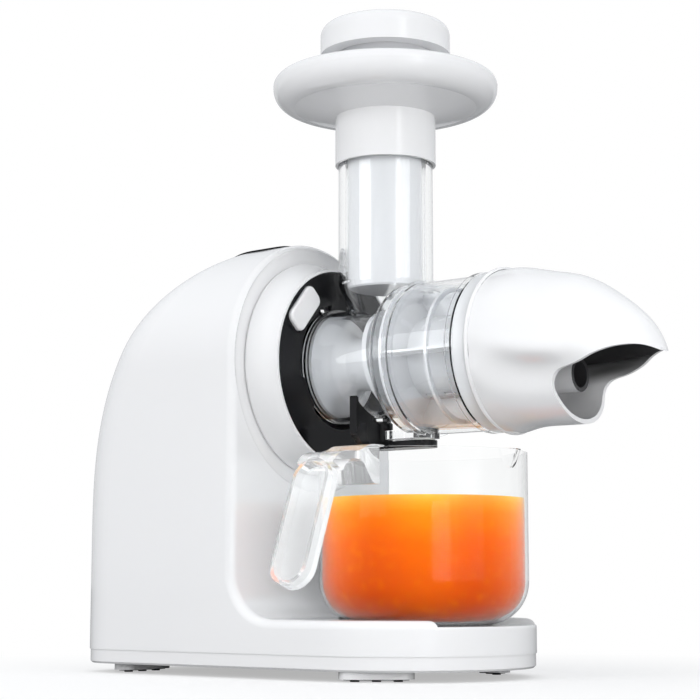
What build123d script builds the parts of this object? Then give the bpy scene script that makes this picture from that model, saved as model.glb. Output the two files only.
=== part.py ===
from build123d import *
import os
from math import acos, atan2, cos, degrees, hypot, pi, radians, sin, sqrt, tan

os.makedirs("parts", exist_ok=True)

# ---------------------------------------------------------------------------
# Driving dimensions, in millimetres. +X runs along the drum towards the
# nozzle, +Z is up. "x" values are measured from the feed tube's axis, "z"
# values from the table, and "r" values from the piece's own axis.
# ---------------------------------------------------------------------------

# Place of the feed tube's axis in the row frame, whose origin is the middle
# of the whole object's footprint.
tube_x = 2.4
mid_y = 24.85

# Clearances
fit_gap = 0.3            # loose fit between pieces that come apart by hand
run_gap = 0.05           # running fit of a shaft in its bore, on the radius
slip_gap = 0.15          # seated piece in its pocket
overlap = 12.0           # reach of one form into its neighbour before they join
overshoot = 10.0         # reach of a cutting form past the face it cuts
touch = 0.1              # margin for finding edges by their place

# Heights and main stations
axis_z = 185.5           # drum axis above the table
seam_z = 14.0            # joint between housing and base plate
plate_bottom_z = 5.6     # underside of the base plate
deck_z = 33.5            # top of the platform that carries the jug
front_x = -54.0          # front face of the motor housing
front_top_z = 272.0      # crown of the housing at its front face
front_slope = 0.22
rear_rise = 62.0         # straight part of the back wall above the seam
hump_points = (          # back outline: x, z and the share of any offset in each
    (-182.5, 157.0, 1.0, 0.0),
    (-158.0, 211.0, 0.8, 0.6),
    (-117.0, 249.0, 0.4, 0.9),
)
back_x = -189.0          # back of the motor housing
disc_x = -34.8           # outer face of the black front disc

# Housing
body_half = 78.0         # half width, also the radius of the arched front
shell_wall = 3.0
back_round = 34.0
front_round = 5.0
deck_nose_x = 11.8       # centre of the platform's round front end
deck_fillet = 28.0       # hollow corner between front face and platform
bay_half = 50.0          # half width of the shallow bay for the jug
bay_depth = 3.5
collar_root_r = 66.0     # collar round the disc, at the front face
collar_lip_r = 60.4
collar_crest = 8.0       # the collar's highest ring, in front of the housing's face
collar_swell = 1.6
disc_r = 58.6
ledge_r = 54.0           # opening in the front wall behind the disc
valley_r = 65.5
valley_depth = 2.4
valley_half = 7.0

# Bayonet socket and drum neck
neck_r = 33.6
neck_wall = 1.9
neck_back_x = -41.0
lug_r = 38.2
lug_arc = 44.0
tab_arc = 30.0
lug_count = 3
disc_wall = 2.0
socket_wall = 1.9
socket_floor = 3.5
hub_r = 11.6             # rear hub of the auger
seal_r = 14.0

# Drum
drum_r = 45.0
drum_wall = 3.2
drum_back_x = 19.0
drum_rib_x = (30.5, 74.5)
rib_height = 1.6
rib_width = 3.5
spigot_x = 79.0          # where the drum steps down to its front spigot
drum_front_x = 86.0
spigot_r = drum_r - 1.4
cap_lug_r = drum_r
cap_lug_arc = 30.0

# Feed tube, tray and pusher
tube_r = 28.7
tube_wall = 4.0
tube_top_z = 338.0
throat_z = 233.0         # the tube narrows below this height
throat_r = 20.0
throat_end_z = 208.0
collar_bottom_z = 306.8
collar_top_z = 336.4
collar_r = 30.7
tray_r = 68.8
tray_top_z = 361.0
pusher_r = 23.2
pusher_bottom_z = 230.0
pusher_wall = 2.4
pusher_neck_r = 30.0
knob_bottom_z = 375.9
knob_top_z = 395.0
knob_r = 39.9
tray_floor_z = 346.5

# Auger and strainer
flange_x = -36.0
flange_r = 31.2
core_r = 16.0
flight_start_x = 2.0
coarse_end_x = 24.0
fine_start_x = 32.0
screw_end_x = 78.0
coarse_flight_r = 30.4
fine_flight_r = 22.0
coarse_pitch = 20.0
fine_pitch = 11.5
auger_pin_r = 5.0
auger_pin_end_x = 99.0
hex_width = 12.0
hex_tip_x = -41.5
cage_r = 24.4
cage_wall = 1.5
mesh_wall = 0.45
cage_back_x = 26.0
cage_front_x = 80.0
cage_flange = 2.5
cage_ring_x = 56.5
cage_ring_r = 40.0

# Nozzle cap
cap_back_x = 88.0
cap_r = 47.0
cap_wall = 2.6
bead_r = 1.2             # bead round the cap's back edge
ledge_wall = 1.6
ledge_step = 3.4
section_steps = 8
spout_blend = 0.7        # how fast the sides draw in towards the spout
cap_stations = (          # x, half width, top z, waist z, drop below the waist, share of spout
    (88.0, 47.0, 232.5, 185.5, 47.0, 0.0),
    (98.0, 46.9, 232.3, 184.0, 44.6, 0.08),
    (110.0, 46.0, 230.6, 181.0, 40.0, 0.45),
    (124.0, 43.6, 227.4, 178.6, 37.6, 0.9),
    (138.0, 39.8, 224.0, 178.0, 37.0, 1.0),
    (152.0, 34.0, 216.8, 178.0, 36.5, 1.0),
    (165.0, 26.6, 207.4, 178.0, 32.0, 0.8),
    (176.0, 18.4, 197.2, 178.0, 24.0, 0.4),
    (182.0, 12.2, 187.6, 178.0, 15.0, 0.0),
    (185.6, 5.0, 179.6, 176.0, 6.0, 0.0),
)
mouth_edge = (            # the mouth's edge in the side view
    (137.0, 136.0),
    (136.0, 143.0),
    (134.0, 154.0),
    (133.4, 162.0),
    (137.0, 167.4),
    (144.0, 169.8),
    (152.5, 172.6),
    (164.5, 178.2),
    (174.0, 180.3),
    (181.0, 179.9),
    (188.0, 175.6),
)
trough_r = 30.0
trough_z = 166.0
pulp_hole_r = 7.0
pulp_hole_z = 168.5
pulp_plate_x = 91.0
pulp_plate_wall = 3.0

# Outlet and its lever valve
outlet_x = 27.5
outlet_r = 4.5
block_back_x = 4.0
block_front_x = 34.5
block_half = 9.0
block_bottom_z = 138.5
pivot_x = -2.0
pivot_r = 2.8
post_r = 5.6
post_top_z = 149.6
valve_bottom_z = 133.0
bar_depth = 4.2
bar_half = 8.0
wing_reach = 30.0
wing_top_z = 163.2
wing_wall = 2.6
wing_rim = 5.0
wing_corner = 8.0
wing_gap = 1.2           # clearance under the neck through the whole swing
wing_steps = 5
crest_drop = 1.5
bar_nose = 2.0
pivot_boss_r = 8.0
post_edge = 1.2
rim_wall = 2.0
valve_swing = 25.0

# Jug
jug_x = 26.8
jug_r = 61.2
jug_wall = 1.8
jug_rim_z = 129.5
jug_corner = 25.0
lip_reach = 4.4
lip_depth = 12.0
lip_r = 12.0
grip_half = 12.4
grip_top_y = -101.5
grip_end_y = -127.7
grip_end_z = 53.0
grip_depth = 8.6
grip_wall = 2.2
grip_slope = 0.38

# Gear train: three equal steps from the motor to the drive shaft
small_teeth = 14
large_teeth = 56
modules = (0.8, 1.0, 1.25)
pressure_angle = 20.0
backlash = 0.3
motor_r = 34.0
stator_length = 42.0
axle_r = 4.0
drive_r = 8.0
drive_hub_wall = 4.0

# Feet, panel and button
foot_length = 42.0
foot_width = 15.0
foot_places = (
    (-155.0, -46.0, 90.0),
    (-155.0, 46.0, 90.0),
    (35.0, -57.0, 38.0),
    (35.0, 57.0, -38.0),
)
panel_x = -92.0
panel_length = 46.0
panel_width = 50.0
button_y = -35.9
button_z = 217.6
button_length = 30.0
button_width = 15.0
button_corner = 5.0
button_lean = 48.2
panel_corner = 12.0
panel_seat = 1.4         # depth of the panel's seat below the housing's surface
panel_proud = 1.0
rocker_r = 9.0
rocker_half = 8.0

# Fasteners and the cord's gland
base_screw_places = (
    (-150.0, 70.5),
    (-150.0, -70.5),
    (-66.0, 70.5),
    (-66.0, -70.5),
    (66.0, 42.0),
    (66.0, -42.0),
)
post_boss_r = 5.0
screw_pilot_r = 1.5
screw_length = 12.0
ear_offset = 44.2
ear_places = (
    (ear_offset, axis_z + ear_offset),
    (-ear_offset, axis_z + ear_offset),
    (ear_offset, axis_z - ear_offset),
    (-ear_offset, axis_z - ear_offset),
)
gland_r = 6.0
gland_bore = 3.6
gland_lip = 1.4
gland_z = 40.0
screw_head_r = 3.2
screw_head_depth = 2.0
screw_sunk = 1.5         # base screw heads below the underside
slot_depth = 1.4
slot_wide = 0.9
socket_head_r = 2.9
base_inset = 0.6
base_chamfer = 1.2
rubber_top_z = 3.0
foot_rim = 2.6
foot_seat = 1.6
foot_bump = 0.9
bump_r = 2.6
bump_pitch = 12.0
vent_x = -112.0
vent_pitch = 7.0
vent_count = 9
vent_length = 70.0
vent_width = 3.0
board_x = -112.0
board_z = 22.0
board_length = 84.0
board_width = 62.0
board_wall = 1.6
board_post_r = 2.6
board_posts = ((-150.0, 27.0), (-150.0, -27.0), (-74.0, 27.0), (-74.0, -27.0))
board_blocks = (          # place, length, width and height of each large component
    (-22.0, 8.0, 26.0, 22.0, 18.0),
    (16.0, -12.0, 20.0, 14.0, 12.0),
    (20.0, 16.0, 14.0, 14.0, 22.0),
)
rocker_proud = 1.8
rocker_dip = 1.9
rocker_edge = 0.6
rocker_pin_r = 2.0
rocker_pin = 1.6
switch_drop = 14.0
switch_length = 28.0
switch_width = 24.0
neck_band_r = 35.1
lug_turn = 90.0          # angle of the first lug when the drum is locked
skirt_wall = 1.4
seal_pocket_r = 16.0
seal_lip = 2.5
seal_wall = 1.2
socket_screw_pcr = 47.2
socket_screw_turn = 20.0
socket_screw_count = 4
cover_wall = 4.0
button_depth = 6.5
button_proud = 2.4
button_edge = 1.6
button_flange = 3.0
disc_edge = 0.7
pivot_depth = 10.0
plug_r = 6.6
plug_seat = 1.2
drum_floor = 2.5
drum_shoulder = 5.0
lug_wall = 2.4
lug_inset = 1.2
hub_length = 12.0
fine_core_r = 19.0
flange_wall = 9.0
flange_swell = 4.6
flange_run = 18.0
coarse_flight_wall = 3.2
fine_flight_wall = 2.6
nose_r = 12.0
nose_end_x = 84.0
cage_ribs = 4
cage_rib_wall = 1.4
cage_lead = 8.0          # tapered back end of the cage
cage_ring_wall = 2.5
cage_skirt = 1.5
bush_end_gap = 0.4
window_rows = 3
window_start_x = 37.0
window_pitch = 13.0
window_length = 9.0
window_count = 5
window_first = -114.0    # turn of the first window about the drum axis, in degrees
window_step = 12.0
window_arc = 6.0
lock_ring_r = 46.4
bush_r = 7.0
bush_wall = 3.0
pulp_tube_r = 9.6
pulp_tube_wall = 2.4
pulp_tube_end_x = 134.0
tray_bore_r = 24.7
bowl_foot = (13.0, 6.2)  # bowl's outline: in from the rim, up from the collar
bowl_belly = (2.2, 11.0)
brim_drop = 6.5          # upright part of the brim
brim_round = (0.9, 2.2)  # in from the rim, down from the top
brim_edge = 3.4
brim_flat = 1.6
dish_corner = (8.0, 3.4) # in from the rim, up from the floor
dish_in = 16.0
knob_seat = 6.0
knob_round = 7.0
knob_dish = 3.2
arm_half = 12.7
arm_drop = 21.0
saddle_rise = 1.0        # the handle's arm above the jug's rim
saddle_in = 6.0
saddle_out = 3.0
arm_dip = (17.0, 3.2)    # out from the jug, down from its rim
arm_bend = (9.5, 4.5)    # in from the grip's top, down from the rim
shoulder_drop = 11.0
inner_drop = 15.0
elbow = (14.0, 9.5)      # out from the jug, down from its rim
elbow_foot = 3.0
grip_start = 8.0
third_turn = -60.0       # directions from each shaft to the one before it
second_turn = -156.0
first_turn = -69.0
flank_steps = 3
root_share = 1.1         # depth of a tooth below the pitch circle, in modules
tip_share = 0.8
undercut_share = 0.05
gear_widths = (6.0, 7.0, 10.0)
gear_hub_r = 5.6
gear_gap = 1.5
case_back_x = -99.0
bearing_r = 14.0
bearing_width = 6.0
bearing_lip = 1.5
ear_screw_tip = 1.0       # gearbox screws end this far behind the front face
motor_boss_r = 12.0
ear_r = 6.5
ear_wall = 4.0
hex_reach = 9.0
bell_depth = 14.0
motor_bearing_r = 8.0
motor_bearing_width = 6.0
rotor_shaft_r = 3.0
rotor_r = 19.0
air_gap = 0.6
stator_slot = 9.0
stator_slot_wide = 6.0
stator_slot_count = 8
rotor_slot = 5.0
rotor_slot_wide = 1.8
rotor_slot_count = 12
commutator_r = 9.0
commutator_length = 6.0
fan_r = 28.0
fan_hub_r = 8.0
fan_depth = 8.0
fan_blade = 1.6
fan_blade_count = 9
fan_lean = 20.0
spring_wire_r = 0.45
spring_r = 3.4
spring_turns = 5

# ---------------------------------------------------------------------------
# Planes and axes of the machine
# ---------------------------------------------------------------------------

side = Plane(origin=(tube_x, mid_y, 0), x_dir=(1, 0, 0), z_dir=(0, -1, 0))
drum_axis = Axis((tube_x, mid_y, axis_z), (1, 0, 0))
tube_axis = Axis((tube_x, mid_y, 0), (0, 0, 1))
jug_axis = Axis((tube_x + jug_x, mid_y, 0), (0, 0, 1))


def level(z):
    """Horizontal plane at height z, centred under the feed tube."""
    return Plane(origin=(tube_x, mid_y, z))


def across(x, y=0.0, z=axis_z):
    """Vertical plane facing the nozzle; local x is +Y and local y is +Z."""
    return Plane(origin=(tube_x + x, mid_y + y, z), x_dir=(0, 1, 0), z_dir=(1, 0, 0))


def write(piece, label):
    """Label a finished piece and write it as its own file."""
    piece.part.label = label
    export_step(piece.part, f"parts/{label}.step")


def ring(radius, bore, x_from, x_to, y=0.0, z=axis_z):
    """Add a ring along X to the piece being built; a bore of 0 makes a disc."""
    with BuildSketch(across(x_from, y, z), mode=Mode.PRIVATE) as face:
        Circle(radius)
        if bore:
            Circle(bore, mode=Mode.SUBTRACT)
    extrude(face.sketch, amount=x_to - x_from)


def bore(radius, x_from, x_to, y=0.0, z=axis_z):
    """Cut a round hole along X from the piece being built."""
    with BuildSketch(across(x_from, y, z), mode=Mode.PRIVATE) as face:
        Circle(radius)
    extrude(face.sketch, amount=x_to - x_from, mode=Mode.SUBTRACT)


def sector(radius, arc, turn):
    """Closed outline of a pie slice, centred on the angle "turn"."""
    steps = 8
    points = [(0, 0)]
    for step in range(steps + 1):
        angle = radians(turn - arc / 2 + arc * step / steps)
        points.append((radius * cos(angle), radius * sin(angle)))
    return points


def lug_ring(radius, bore_radius, arc, first, x_from, x_to, mode=Mode.ADD, count=lug_count):
    """Equal arcs of a ring about the drum axis, for lugs, tabs and windows."""
    with BuildSketch(across(x_from), mode=Mode.PRIVATE) as face:
        for number in range(count):
            turn = first + number * 360 / count
            Polygon(*sector(radius * 1.5, arc, turn), align=None)
        Circle(radius, mode=Mode.INTERSECT)
        Circle(bore_radius, mode=Mode.SUBTRACT)
    extrude(face.sketch, amount=x_to - x_from, mode=mode)


# ---------------------------------------------------------------------------
# Housing
# ---------------------------------------------------------------------------


def tower(grow):
    """Solid outer form of the motor housing, grown (or shrunk) by "grow"."""
    back = back_x - grow
    front = front_x + grow
    with BuildPart() as form:
        with BuildSketch(side):
            with BuildLine():
                Line((front, seam_z), (back, seam_z))
                Line((back, seam_z), (back, seam_z + rear_rise))
                Spline(
                    (back, seam_z + rear_rise),
                    *[(x - out * grow, z + up * grow) for x, z, out, up in hump_points],
                    (front, front_top_z + grow),
                    tangents=[(0, 1), (1, front_slope)],
                )
                Line((front, front_top_z + grow), (front, seam_z))
            make_face()
        extrude(amount=body_half + grow, both=True)
        with BuildSketch(across(back - 1)):
            with Locations((0, (seam_z - axis_z) / 2)):
                Rectangle(2 * (body_half + grow), axis_z - seam_z)
            Circle(body_half + grow)
        extrude(amount=front - back + 2, mode=Mode.INTERSECT)
        rear = form.edges().filter_by(
            lambda edge: edge.bounding_box().max.X < tube_x + front - front_round
            and edge.bounding_box().size.Z > back_round
        )
        fillet(rear, back_round + grow)
    return form


def deck(grow, top):
    """Solid form of the platform, shrunk by a negative "grow"."""
    with BuildPart() as form:
        with BuildSketch(level(seam_z)):
            with Locations((deck_nose_x, 0)):
                Circle(body_half + grow)
            with Locations(((deck_nose_x + front_x - overlap) / 2, 0)):
                Rectangle(deck_nose_x - front_x + overlap, 2 * (body_half + grow))
        extrude(amount=top - seam_z)
    return form


outer_tower = tower(0)
inner_tower = tower(-shell_wall)
outer_deck = deck(0, deck_z)
inner_deck = deck(-shell_wall, deck_z - bay_depth - shell_wall)

with BuildPart() as panel_pocket:
    add(tower(2).part)
    with BuildSketch(level(axis_z)):
        with Locations((panel_x, 0)):
            RectangleRounded(panel_length + 2 * slip_gap, panel_width + 2 * slip_gap, panel_corner)
    extrude(amount=body_half + overshoot, mode=Mode.INTERSECT)
    add(tower(-panel_seat).part, mode=Mode.SUBTRACT)

with BuildPart() as housing_shell:
    add(outer_tower.part)
    add(outer_deck.part)
    # hollow corner between the front face and the platform
    with BuildSketch(side):
        with BuildLine():
            corner_back = front_x - overlap
            corner_front = front_x + deck_fillet
            corner_low = deck_z - shell_wall
            corner_top = deck_z + deck_fillet
            RadiusArc((front_x, corner_top), (corner_front, deck_z), -deck_fillet)
            Polyline(
                (corner_front, deck_z),
                (corner_front, corner_low),
                (corner_back, corner_low),
                (corner_back, corner_top),
                (front_x, corner_top),
            )
        make_face()
    extrude(amount=body_half, both=True)
    rim = housing_shell.edges().filter_by(
        lambda edge: edge.bounding_box().min.X > tube_x + front_x - touch
        and edge.bounding_box().max.X < tube_x + front_x + touch
        and edge.bounding_box().size.Z > rear_rise
    )
    fillet(rim, front_round)
    # valley and collar round the black disc
    with BuildSketch(side):
        with Locations((front_x, axis_z + valley_r + valley_half / 2)):
            Ellipse(valley_depth, valley_half)
    revolve(axis=drum_axis, mode=Mode.SUBTRACT)
    with BuildSketch(side):
        with BuildLine():
            Line((front_x - 1, axis_z + ledge_r), (front_x - 1, axis_z + collar_root_r))
            Line((front_x - 1, axis_z + collar_root_r), (front_x, axis_z + collar_root_r))
            ThreePointArc(
                (front_x, axis_z + collar_root_r),
                (front_x + collar_crest, axis_z + collar_lip_r + collar_swell),
                (disc_x, axis_z + collar_lip_r),
            )
            Line((disc_x, axis_z + collar_lip_r), (disc_x, axis_z + disc_r + fit_gap))
            Line((disc_x, axis_z + disc_r + fit_gap), (front_x, axis_z + disc_r + fit_gap))
            Line((front_x, axis_z + disc_r + fit_gap), (front_x, axis_z + ledge_r))
            Line((front_x, axis_z + ledge_r), (front_x - 1, axis_z + ledge_r))
        make_face()
    revolve(axis=drum_axis)
    # shallow bay for the jug, open at the front
    with BuildSketch(level(deck_z - bay_depth)):
        with Locations((jug_x, 0)):
            Circle(bay_half)
        with Locations((jug_x + body_half / 2, 0)):
            Rectangle(body_half, 2 * bay_half)
    extrude(amount=bay_depth + overshoot, mode=Mode.SUBTRACT)
    # inside
    add(inner_tower.part, mode=Mode.SUBTRACT)
    add(inner_deck.part, mode=Mode.SUBTRACT)
    with BuildSketch(across(front_x - shell_wall - 1)):
        Circle(ledge_r)
    extrude(amount=shell_wall + 3, mode=Mode.SUBTRACT)
    # hole for the cord's gland
    bore(gland_r, back_x - 1, back_x + shell_wall + 2, 0, gland_z)
    # window and seat for the control panel
    add(panel_pocket.part, mode=Mode.SUBTRACT)
    with BuildSketch(level(axis_z)):
        with Locations((panel_x, 0)):
            Rectangle(2 * (rocker_r + fit_gap), 2 * (rocker_half + fit_gap))
    extrude(amount=body_half + overshoot, mode=Mode.SUBTRACT)
    # posts for the base screws
    for x, y in base_screw_places:
        with BuildSketch(level(seam_z)):
            with Locations((x, y)):
                Circle(post_boss_r)
        extrude(amount=deck_z - bay_depth - seam_z - 1)
        with BuildSketch(level(seam_z)):
            with Locations((x, y)):
                Circle(screw_pilot_r)
        extrude(amount=screw_length, mode=Mode.SUBTRACT)
    # pilot holes for the screws that hold the gearbox
    for y, z in ear_places:
        bore(screw_pilot_r, front_x - shell_wall - 1, front_x - ear_screw_tip, y, z)
write(housing_shell, "housing_shell")

# ---------------------------------------------------------------------------
# Base plate, feet, panel, switch and cord gland
# ---------------------------------------------------------------------------


def plan(grow):
    """Draw the footprint, grown by "grow", in the sketch being made."""
    half = body_half + grow
    back = back_x - grow
    corner = back_round + grow
    with Locations((deck_nose_x, 0)):
        Circle(half)
    with Locations(((back + corner + deck_nose_x) / 2, 0)):
        Rectangle(deck_nose_x - back - corner, 2 * half)
    with Locations((back + corner, 0)):
        Rectangle(2 * corner, 2 * (half - corner))
    with Locations((back + corner, half - corner), (back + corner, corner - half)):
        Circle(corner)


def feet(length, width, z_from, z_to, mode=Mode.ADD):
    """Oblong blocks at the four feet."""
    for x, y, lean in foot_places:
        with BuildSketch(level(z_from), mode=Mode.PRIVATE) as face:
            with Locations(Location((x, y, 0), (0, 0, lean))):
                SlotOverall(length, width)
        extrude(face.sketch, amount=z_to - z_from, mode=mode)


with BuildPart() as base_plate:
    with BuildSketch(level(plate_bottom_z)):
        plan(-base_inset)
    extrude(amount=seam_z - plate_bottom_z)
    lower_rim = base_plate.edges().group_by(Axis.Z)[0]
    chamfer(lower_rim, base_chamfer)
    with BuildSketch(level(plate_bottom_z + shell_wall)):
        plan(-base_inset - shell_wall)
    extrude(amount=seam_z, mode=Mode.SUBTRACT)
    for x, y in base_screw_places:
        with BuildSketch(level(plate_bottom_z + 1)):
            with Locations((x, y)):
                Circle(post_boss_r)
        extrude(amount=seam_z - plate_bottom_z - 1)
    with BuildSketch(level(plate_bottom_z + 1)):
        with Locations(*board_posts):
            Circle(board_post_r)
    extrude(amount=board_z - plate_bottom_z - 1)
    feet(foot_length, foot_width, rubber_top_z - foot_seat, plate_bottom_z + 1)
    feet(foot_length - 2 * foot_rim, foot_width - 2 * foot_rim, 0, rubber_top_z, Mode.SUBTRACT)
    for x, y in base_screw_places:
        with BuildSketch(level(plate_bottom_z - 1)):
            with Locations((x, y)):
                Circle(screw_pilot_r + fit_gap)
        extrude(amount=seam_z, mode=Mode.SUBTRACT)
        with BuildSketch(level(plate_bottom_z - 1)):
            with Locations((x, y)):
                Circle(screw_head_r + fit_gap)
        extrude(amount=1 + screw_head_depth + screw_sunk, mode=Mode.SUBTRACT)
    # slots that let air reach the motor
    with BuildSketch(level(plate_bottom_z - 1)):
        with Locations((vent_x, 0)):
            with GridLocations(vent_pitch, 0, vent_count, 1):
                SlotOverall(vent_length, vent_width, rotation=90)
    extrude(amount=shell_wall + 2, mode=Mode.SUBTRACT)
write(base_plate, "base_plate")

with BuildPart() as base_screws:
    for x, y in base_screw_places:
        with BuildSketch(level(plate_bottom_z + screw_sunk)):
            with Locations((x, y)):
                Circle(screw_head_r)
        extrude(amount=screw_head_depth)
        with BuildSketch(level(plate_bottom_z + screw_sunk)):
            with Locations((x, y)):
                Circle(screw_pilot_r)
        extrude(amount=seam_z - plate_bottom_z - screw_sunk - 1 + screw_length)
        with BuildSketch(level(plate_bottom_z + screw_sunk)):
            with Locations((x, y)):
                Rectangle(2 * (screw_head_r - 1), slot_wide)
                Rectangle(slot_wide, 2 * (screw_head_r - 1))
        extrude(amount=slot_depth, mode=Mode.SUBTRACT)
write(base_screws, "base_screws")

with BuildPart() as rubber_feet:
    inner_gap = 2 * (foot_rim + slip_gap)
    feet(foot_length - inner_gap, foot_width - inner_gap, foot_bump, rubber_top_z)
    for x, y, lean in foot_places:
        with BuildSketch(level(0), mode=Mode.PRIVATE) as bumps:
            with Locations(Location((x, y, 0), (0, 0, lean))):
                with GridLocations(bump_pitch, 0, 3, 1):
                    Circle(bump_r)
        extrude(bumps.sketch, amount=foot_bump)
write(rubber_feet, "rubber_feet")

with BuildPart() as control_panel:
    add(tower(panel_proud).part)
    with BuildSketch(level(axis_z)):
        with Locations((panel_x, 0)):
            RectangleRounded(panel_length, panel_width, panel_corner)
            Rectangle(2 * (rocker_r + fit_gap), 2 * (rocker_half + fit_gap), mode=Mode.SUBTRACT)
    extrude(amount=body_half + overshoot, mode=Mode.INTERSECT)
    add(tower(-panel_seat).part, mode=Mode.SUBTRACT)
write(control_panel, "control_panel")

crown_line = Axis((tube_x + panel_x, mid_y, axis_z), (0, 0, 1))
crown_hits = outer_tower.part.find_intersection_points(crown_line)
panel_top_z = max(hit[0].Z for hit in crown_hits) + panel_proud
rocker_z = panel_top_z + rocker_proud - rocker_r
with BuildPart() as power_rocker:
    with BuildSketch(side):
        with Locations((panel_x, rocker_z)):
            Circle(rocker_r)
            Polygon(
                (-rocker_r, rocker_r),
                (-rocker_r, rocker_r - rocker_edge),
                (0, rocker_r - rocker_dip),
                (rocker_r, rocker_r - rocker_edge),
                (rocker_r, rocker_r),
                align=None,
                mode=Mode.SUBTRACT,
            )
    extrude(amount=rocker_half, both=True)
    with BuildSketch(side):
        with Locations((panel_x, rocker_z)):
            Circle(rocker_pin_r)
    extrude(amount=rocker_half + rocker_pin, both=True)
write(power_rocker, "power_rocker")

with BuildPart() as switch_body:
    with BuildSketch(level(rocker_z - switch_drop)):
        with Locations((panel_x, 0)):
            Rectangle(switch_length, switch_width)
    extrude(amount=body_half)
    add(tower(-shell_wall).part, mode=Mode.INTERSECT)
    with BuildSketch(side):
        with Locations((panel_x, rocker_z)):
            Circle(rocker_r + fit_gap)
        with Locations((panel_x, rocker_z + rocker_r)):
            Rectangle(2 * (rocker_r + fit_gap), 2 * rocker_r)
    extrude(amount=rocker_half + fit_gap, both=True, mode=Mode.SUBTRACT)
    with BuildSketch(side):
        with Locations((panel_x, rocker_z)):
            Circle(rocker_pin_r + run_gap)
    extrude(amount=rocker_half + rocker_pin + fit_gap, both=True, mode=Mode.SUBTRACT)
write(switch_body, "switch_body")

with BuildPart() as cord_gland:
    ring(gland_r - slip_gap, gland_bore, back_x, back_x + shell_wall + 1, 0, gland_z)
    ring(gland_r + 2, gland_bore, back_x - gland_lip, back_x, 0, gland_z)
    ring(gland_r + gland_lip, gland_bore, back_x + shell_wall, back_x + shell_wall + 2, 0, gland_z)
write(cord_gland, "cord_gland")

with BuildPart() as circuit_board:
    with BuildSketch(level(board_z)):
        with Locations((board_x, 0)):
            Rectangle(board_length, board_width)
    extrude(amount=board_wall)
    for x, y, length, width, height in board_blocks:
        with BuildSketch(level(board_z + board_wall)):
            with Locations((board_x + x, y)):
                Rectangle(length, width)
        extrude(amount=height)
write(circuit_board, "circuit_board")

# ---------------------------------------------------------------------------
# Front disc, lock button and bayonet socket
# ---------------------------------------------------------------------------

disc_back_x = disc_x - disc_wall
channel_r = lug_r + fit_gap


def oblong(length, width, x_from, x_to, mode=Mode.ADD):
    """Oblong block along X at the lock button."""
    with BuildSketch(across(x_from), mode=Mode.PRIVATE) as face:
        with Locations(Location((button_y, button_z - axis_z, 0), (0, 0, button_lean))):
            RectangleRounded(length, width, button_corner)
    extrude(face.sketch, amount=x_to - x_from, mode=mode)


with BuildPart() as face_plate:
    ring(disc_r, neck_band_r + fit_gap, disc_back_x, disc_x)
    front_edges = face_plate.edges().filter_by(GeomType.CIRCLE).group_by(Axis.X)[-1]
    fillet(front_edges.sort_by(SortBy.RADIUS)[-1], disc_edge)
    ring(disc_r, disc_r - skirt_wall, front_x, disc_back_x)
    opening_arc = 360 / lug_count - tab_arc
    middle = lug_turn + 180 / lug_count
    lug_ring(channel_r, 1, opening_arc, middle, disc_back_x - 1, disc_x + 1, Mode.SUBTRACT)
    slot_length = button_length + 2 * fit_gap
    slot_width = button_width + 2 * fit_gap
    oblong(slot_length, slot_width, disc_back_x - 1, disc_x + 1, Mode.SUBTRACT)
write(face_plate, "face_plate")

socket_back_x = front_x - shell_wall
socket_floor_x = socket_back_x + socket_floor
with BuildPart() as bayonet_socket:
    ring(ledge_r - fit_gap, seal_pocket_r, socket_back_x, socket_floor_x)
    ring(channel_r + socket_wall, channel_r, socket_floor_x, disc_back_x)
    with BuildSketch(across(socket_back_x)):
        with PolarLocations(socket_screw_pcr, socket_screw_count, start_angle=socket_screw_turn):
            Circle(screw_pilot_r + fit_gap)
    extrude(amount=socket_floor, mode=Mode.SUBTRACT)
write(bayonet_socket, "bayonet_socket")

with BuildPart() as socket_screws:
    with BuildSketch(across(socket_floor_x)):
        with PolarLocations(socket_screw_pcr, socket_screw_count, start_angle=socket_screw_turn):
            Circle(socket_head_r)
    extrude(amount=screw_head_depth)
    with BuildSketch(across(socket_floor_x)):
        with PolarLocations(socket_screw_pcr, socket_screw_count, start_angle=socket_screw_turn):
            Circle(screw_pilot_r)
    extrude(amount=-socket_floor - cover_wall)
write(socket_screws, "socket_screws")

button_back_x = disc_back_x - button_depth
with BuildPart() as release_button:
    oblong(button_length, button_width, button_back_x, disc_x + button_proud)
    outer_edges = release_button.edges().group_by(Axis.X)[-1]
    fillet(outer_edges, button_edge)
    oblong(button_length + button_flange, button_width, button_back_x, disc_back_x - slip_gap)
write(release_button, "release_button")

spring_length = button_back_x - socket_floor_x - 2 * spring_wire_r
with BuildPart() as button_spring:
    spring_start = Vector(tube_x + socket_floor_x + spring_wire_r, mid_y + button_y, button_z)
    spring_pitch = spring_length / spring_turns
    coil = Helix(
        spring_pitch,
        spring_length,
        spring_r,
        center=spring_start,
        direction=(1, 0, 0),
        mode=Mode.PRIVATE,
    )
    with BuildSketch(Plane(origin=coil @ 0, z_dir=coil % 0)):
        Circle(spring_wire_r)
    sweep(path=coil, is_frenet=True)
write(button_spring, "button_spring")

# ---------------------------------------------------------------------------
# Gear train: shafts are named in the order in which they turn
# ---------------------------------------------------------------------------

steps = [module * (small_teeth + large_teeth) / 2 for module in modules]
output_place = (0.0, axis_z)


def beside(place, distance, turn):
    """Point at a distance and an angle from another, in the YZ plane."""
    return (place[0] + distance * cos(radians(turn)), place[1] + distance * sin(radians(turn)))


third_place = beside(output_place, steps[2], third_turn)
second_place = beside(third_place, steps[1], second_turn)
motor_place = beside(second_place, steps[0], first_turn)


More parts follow.
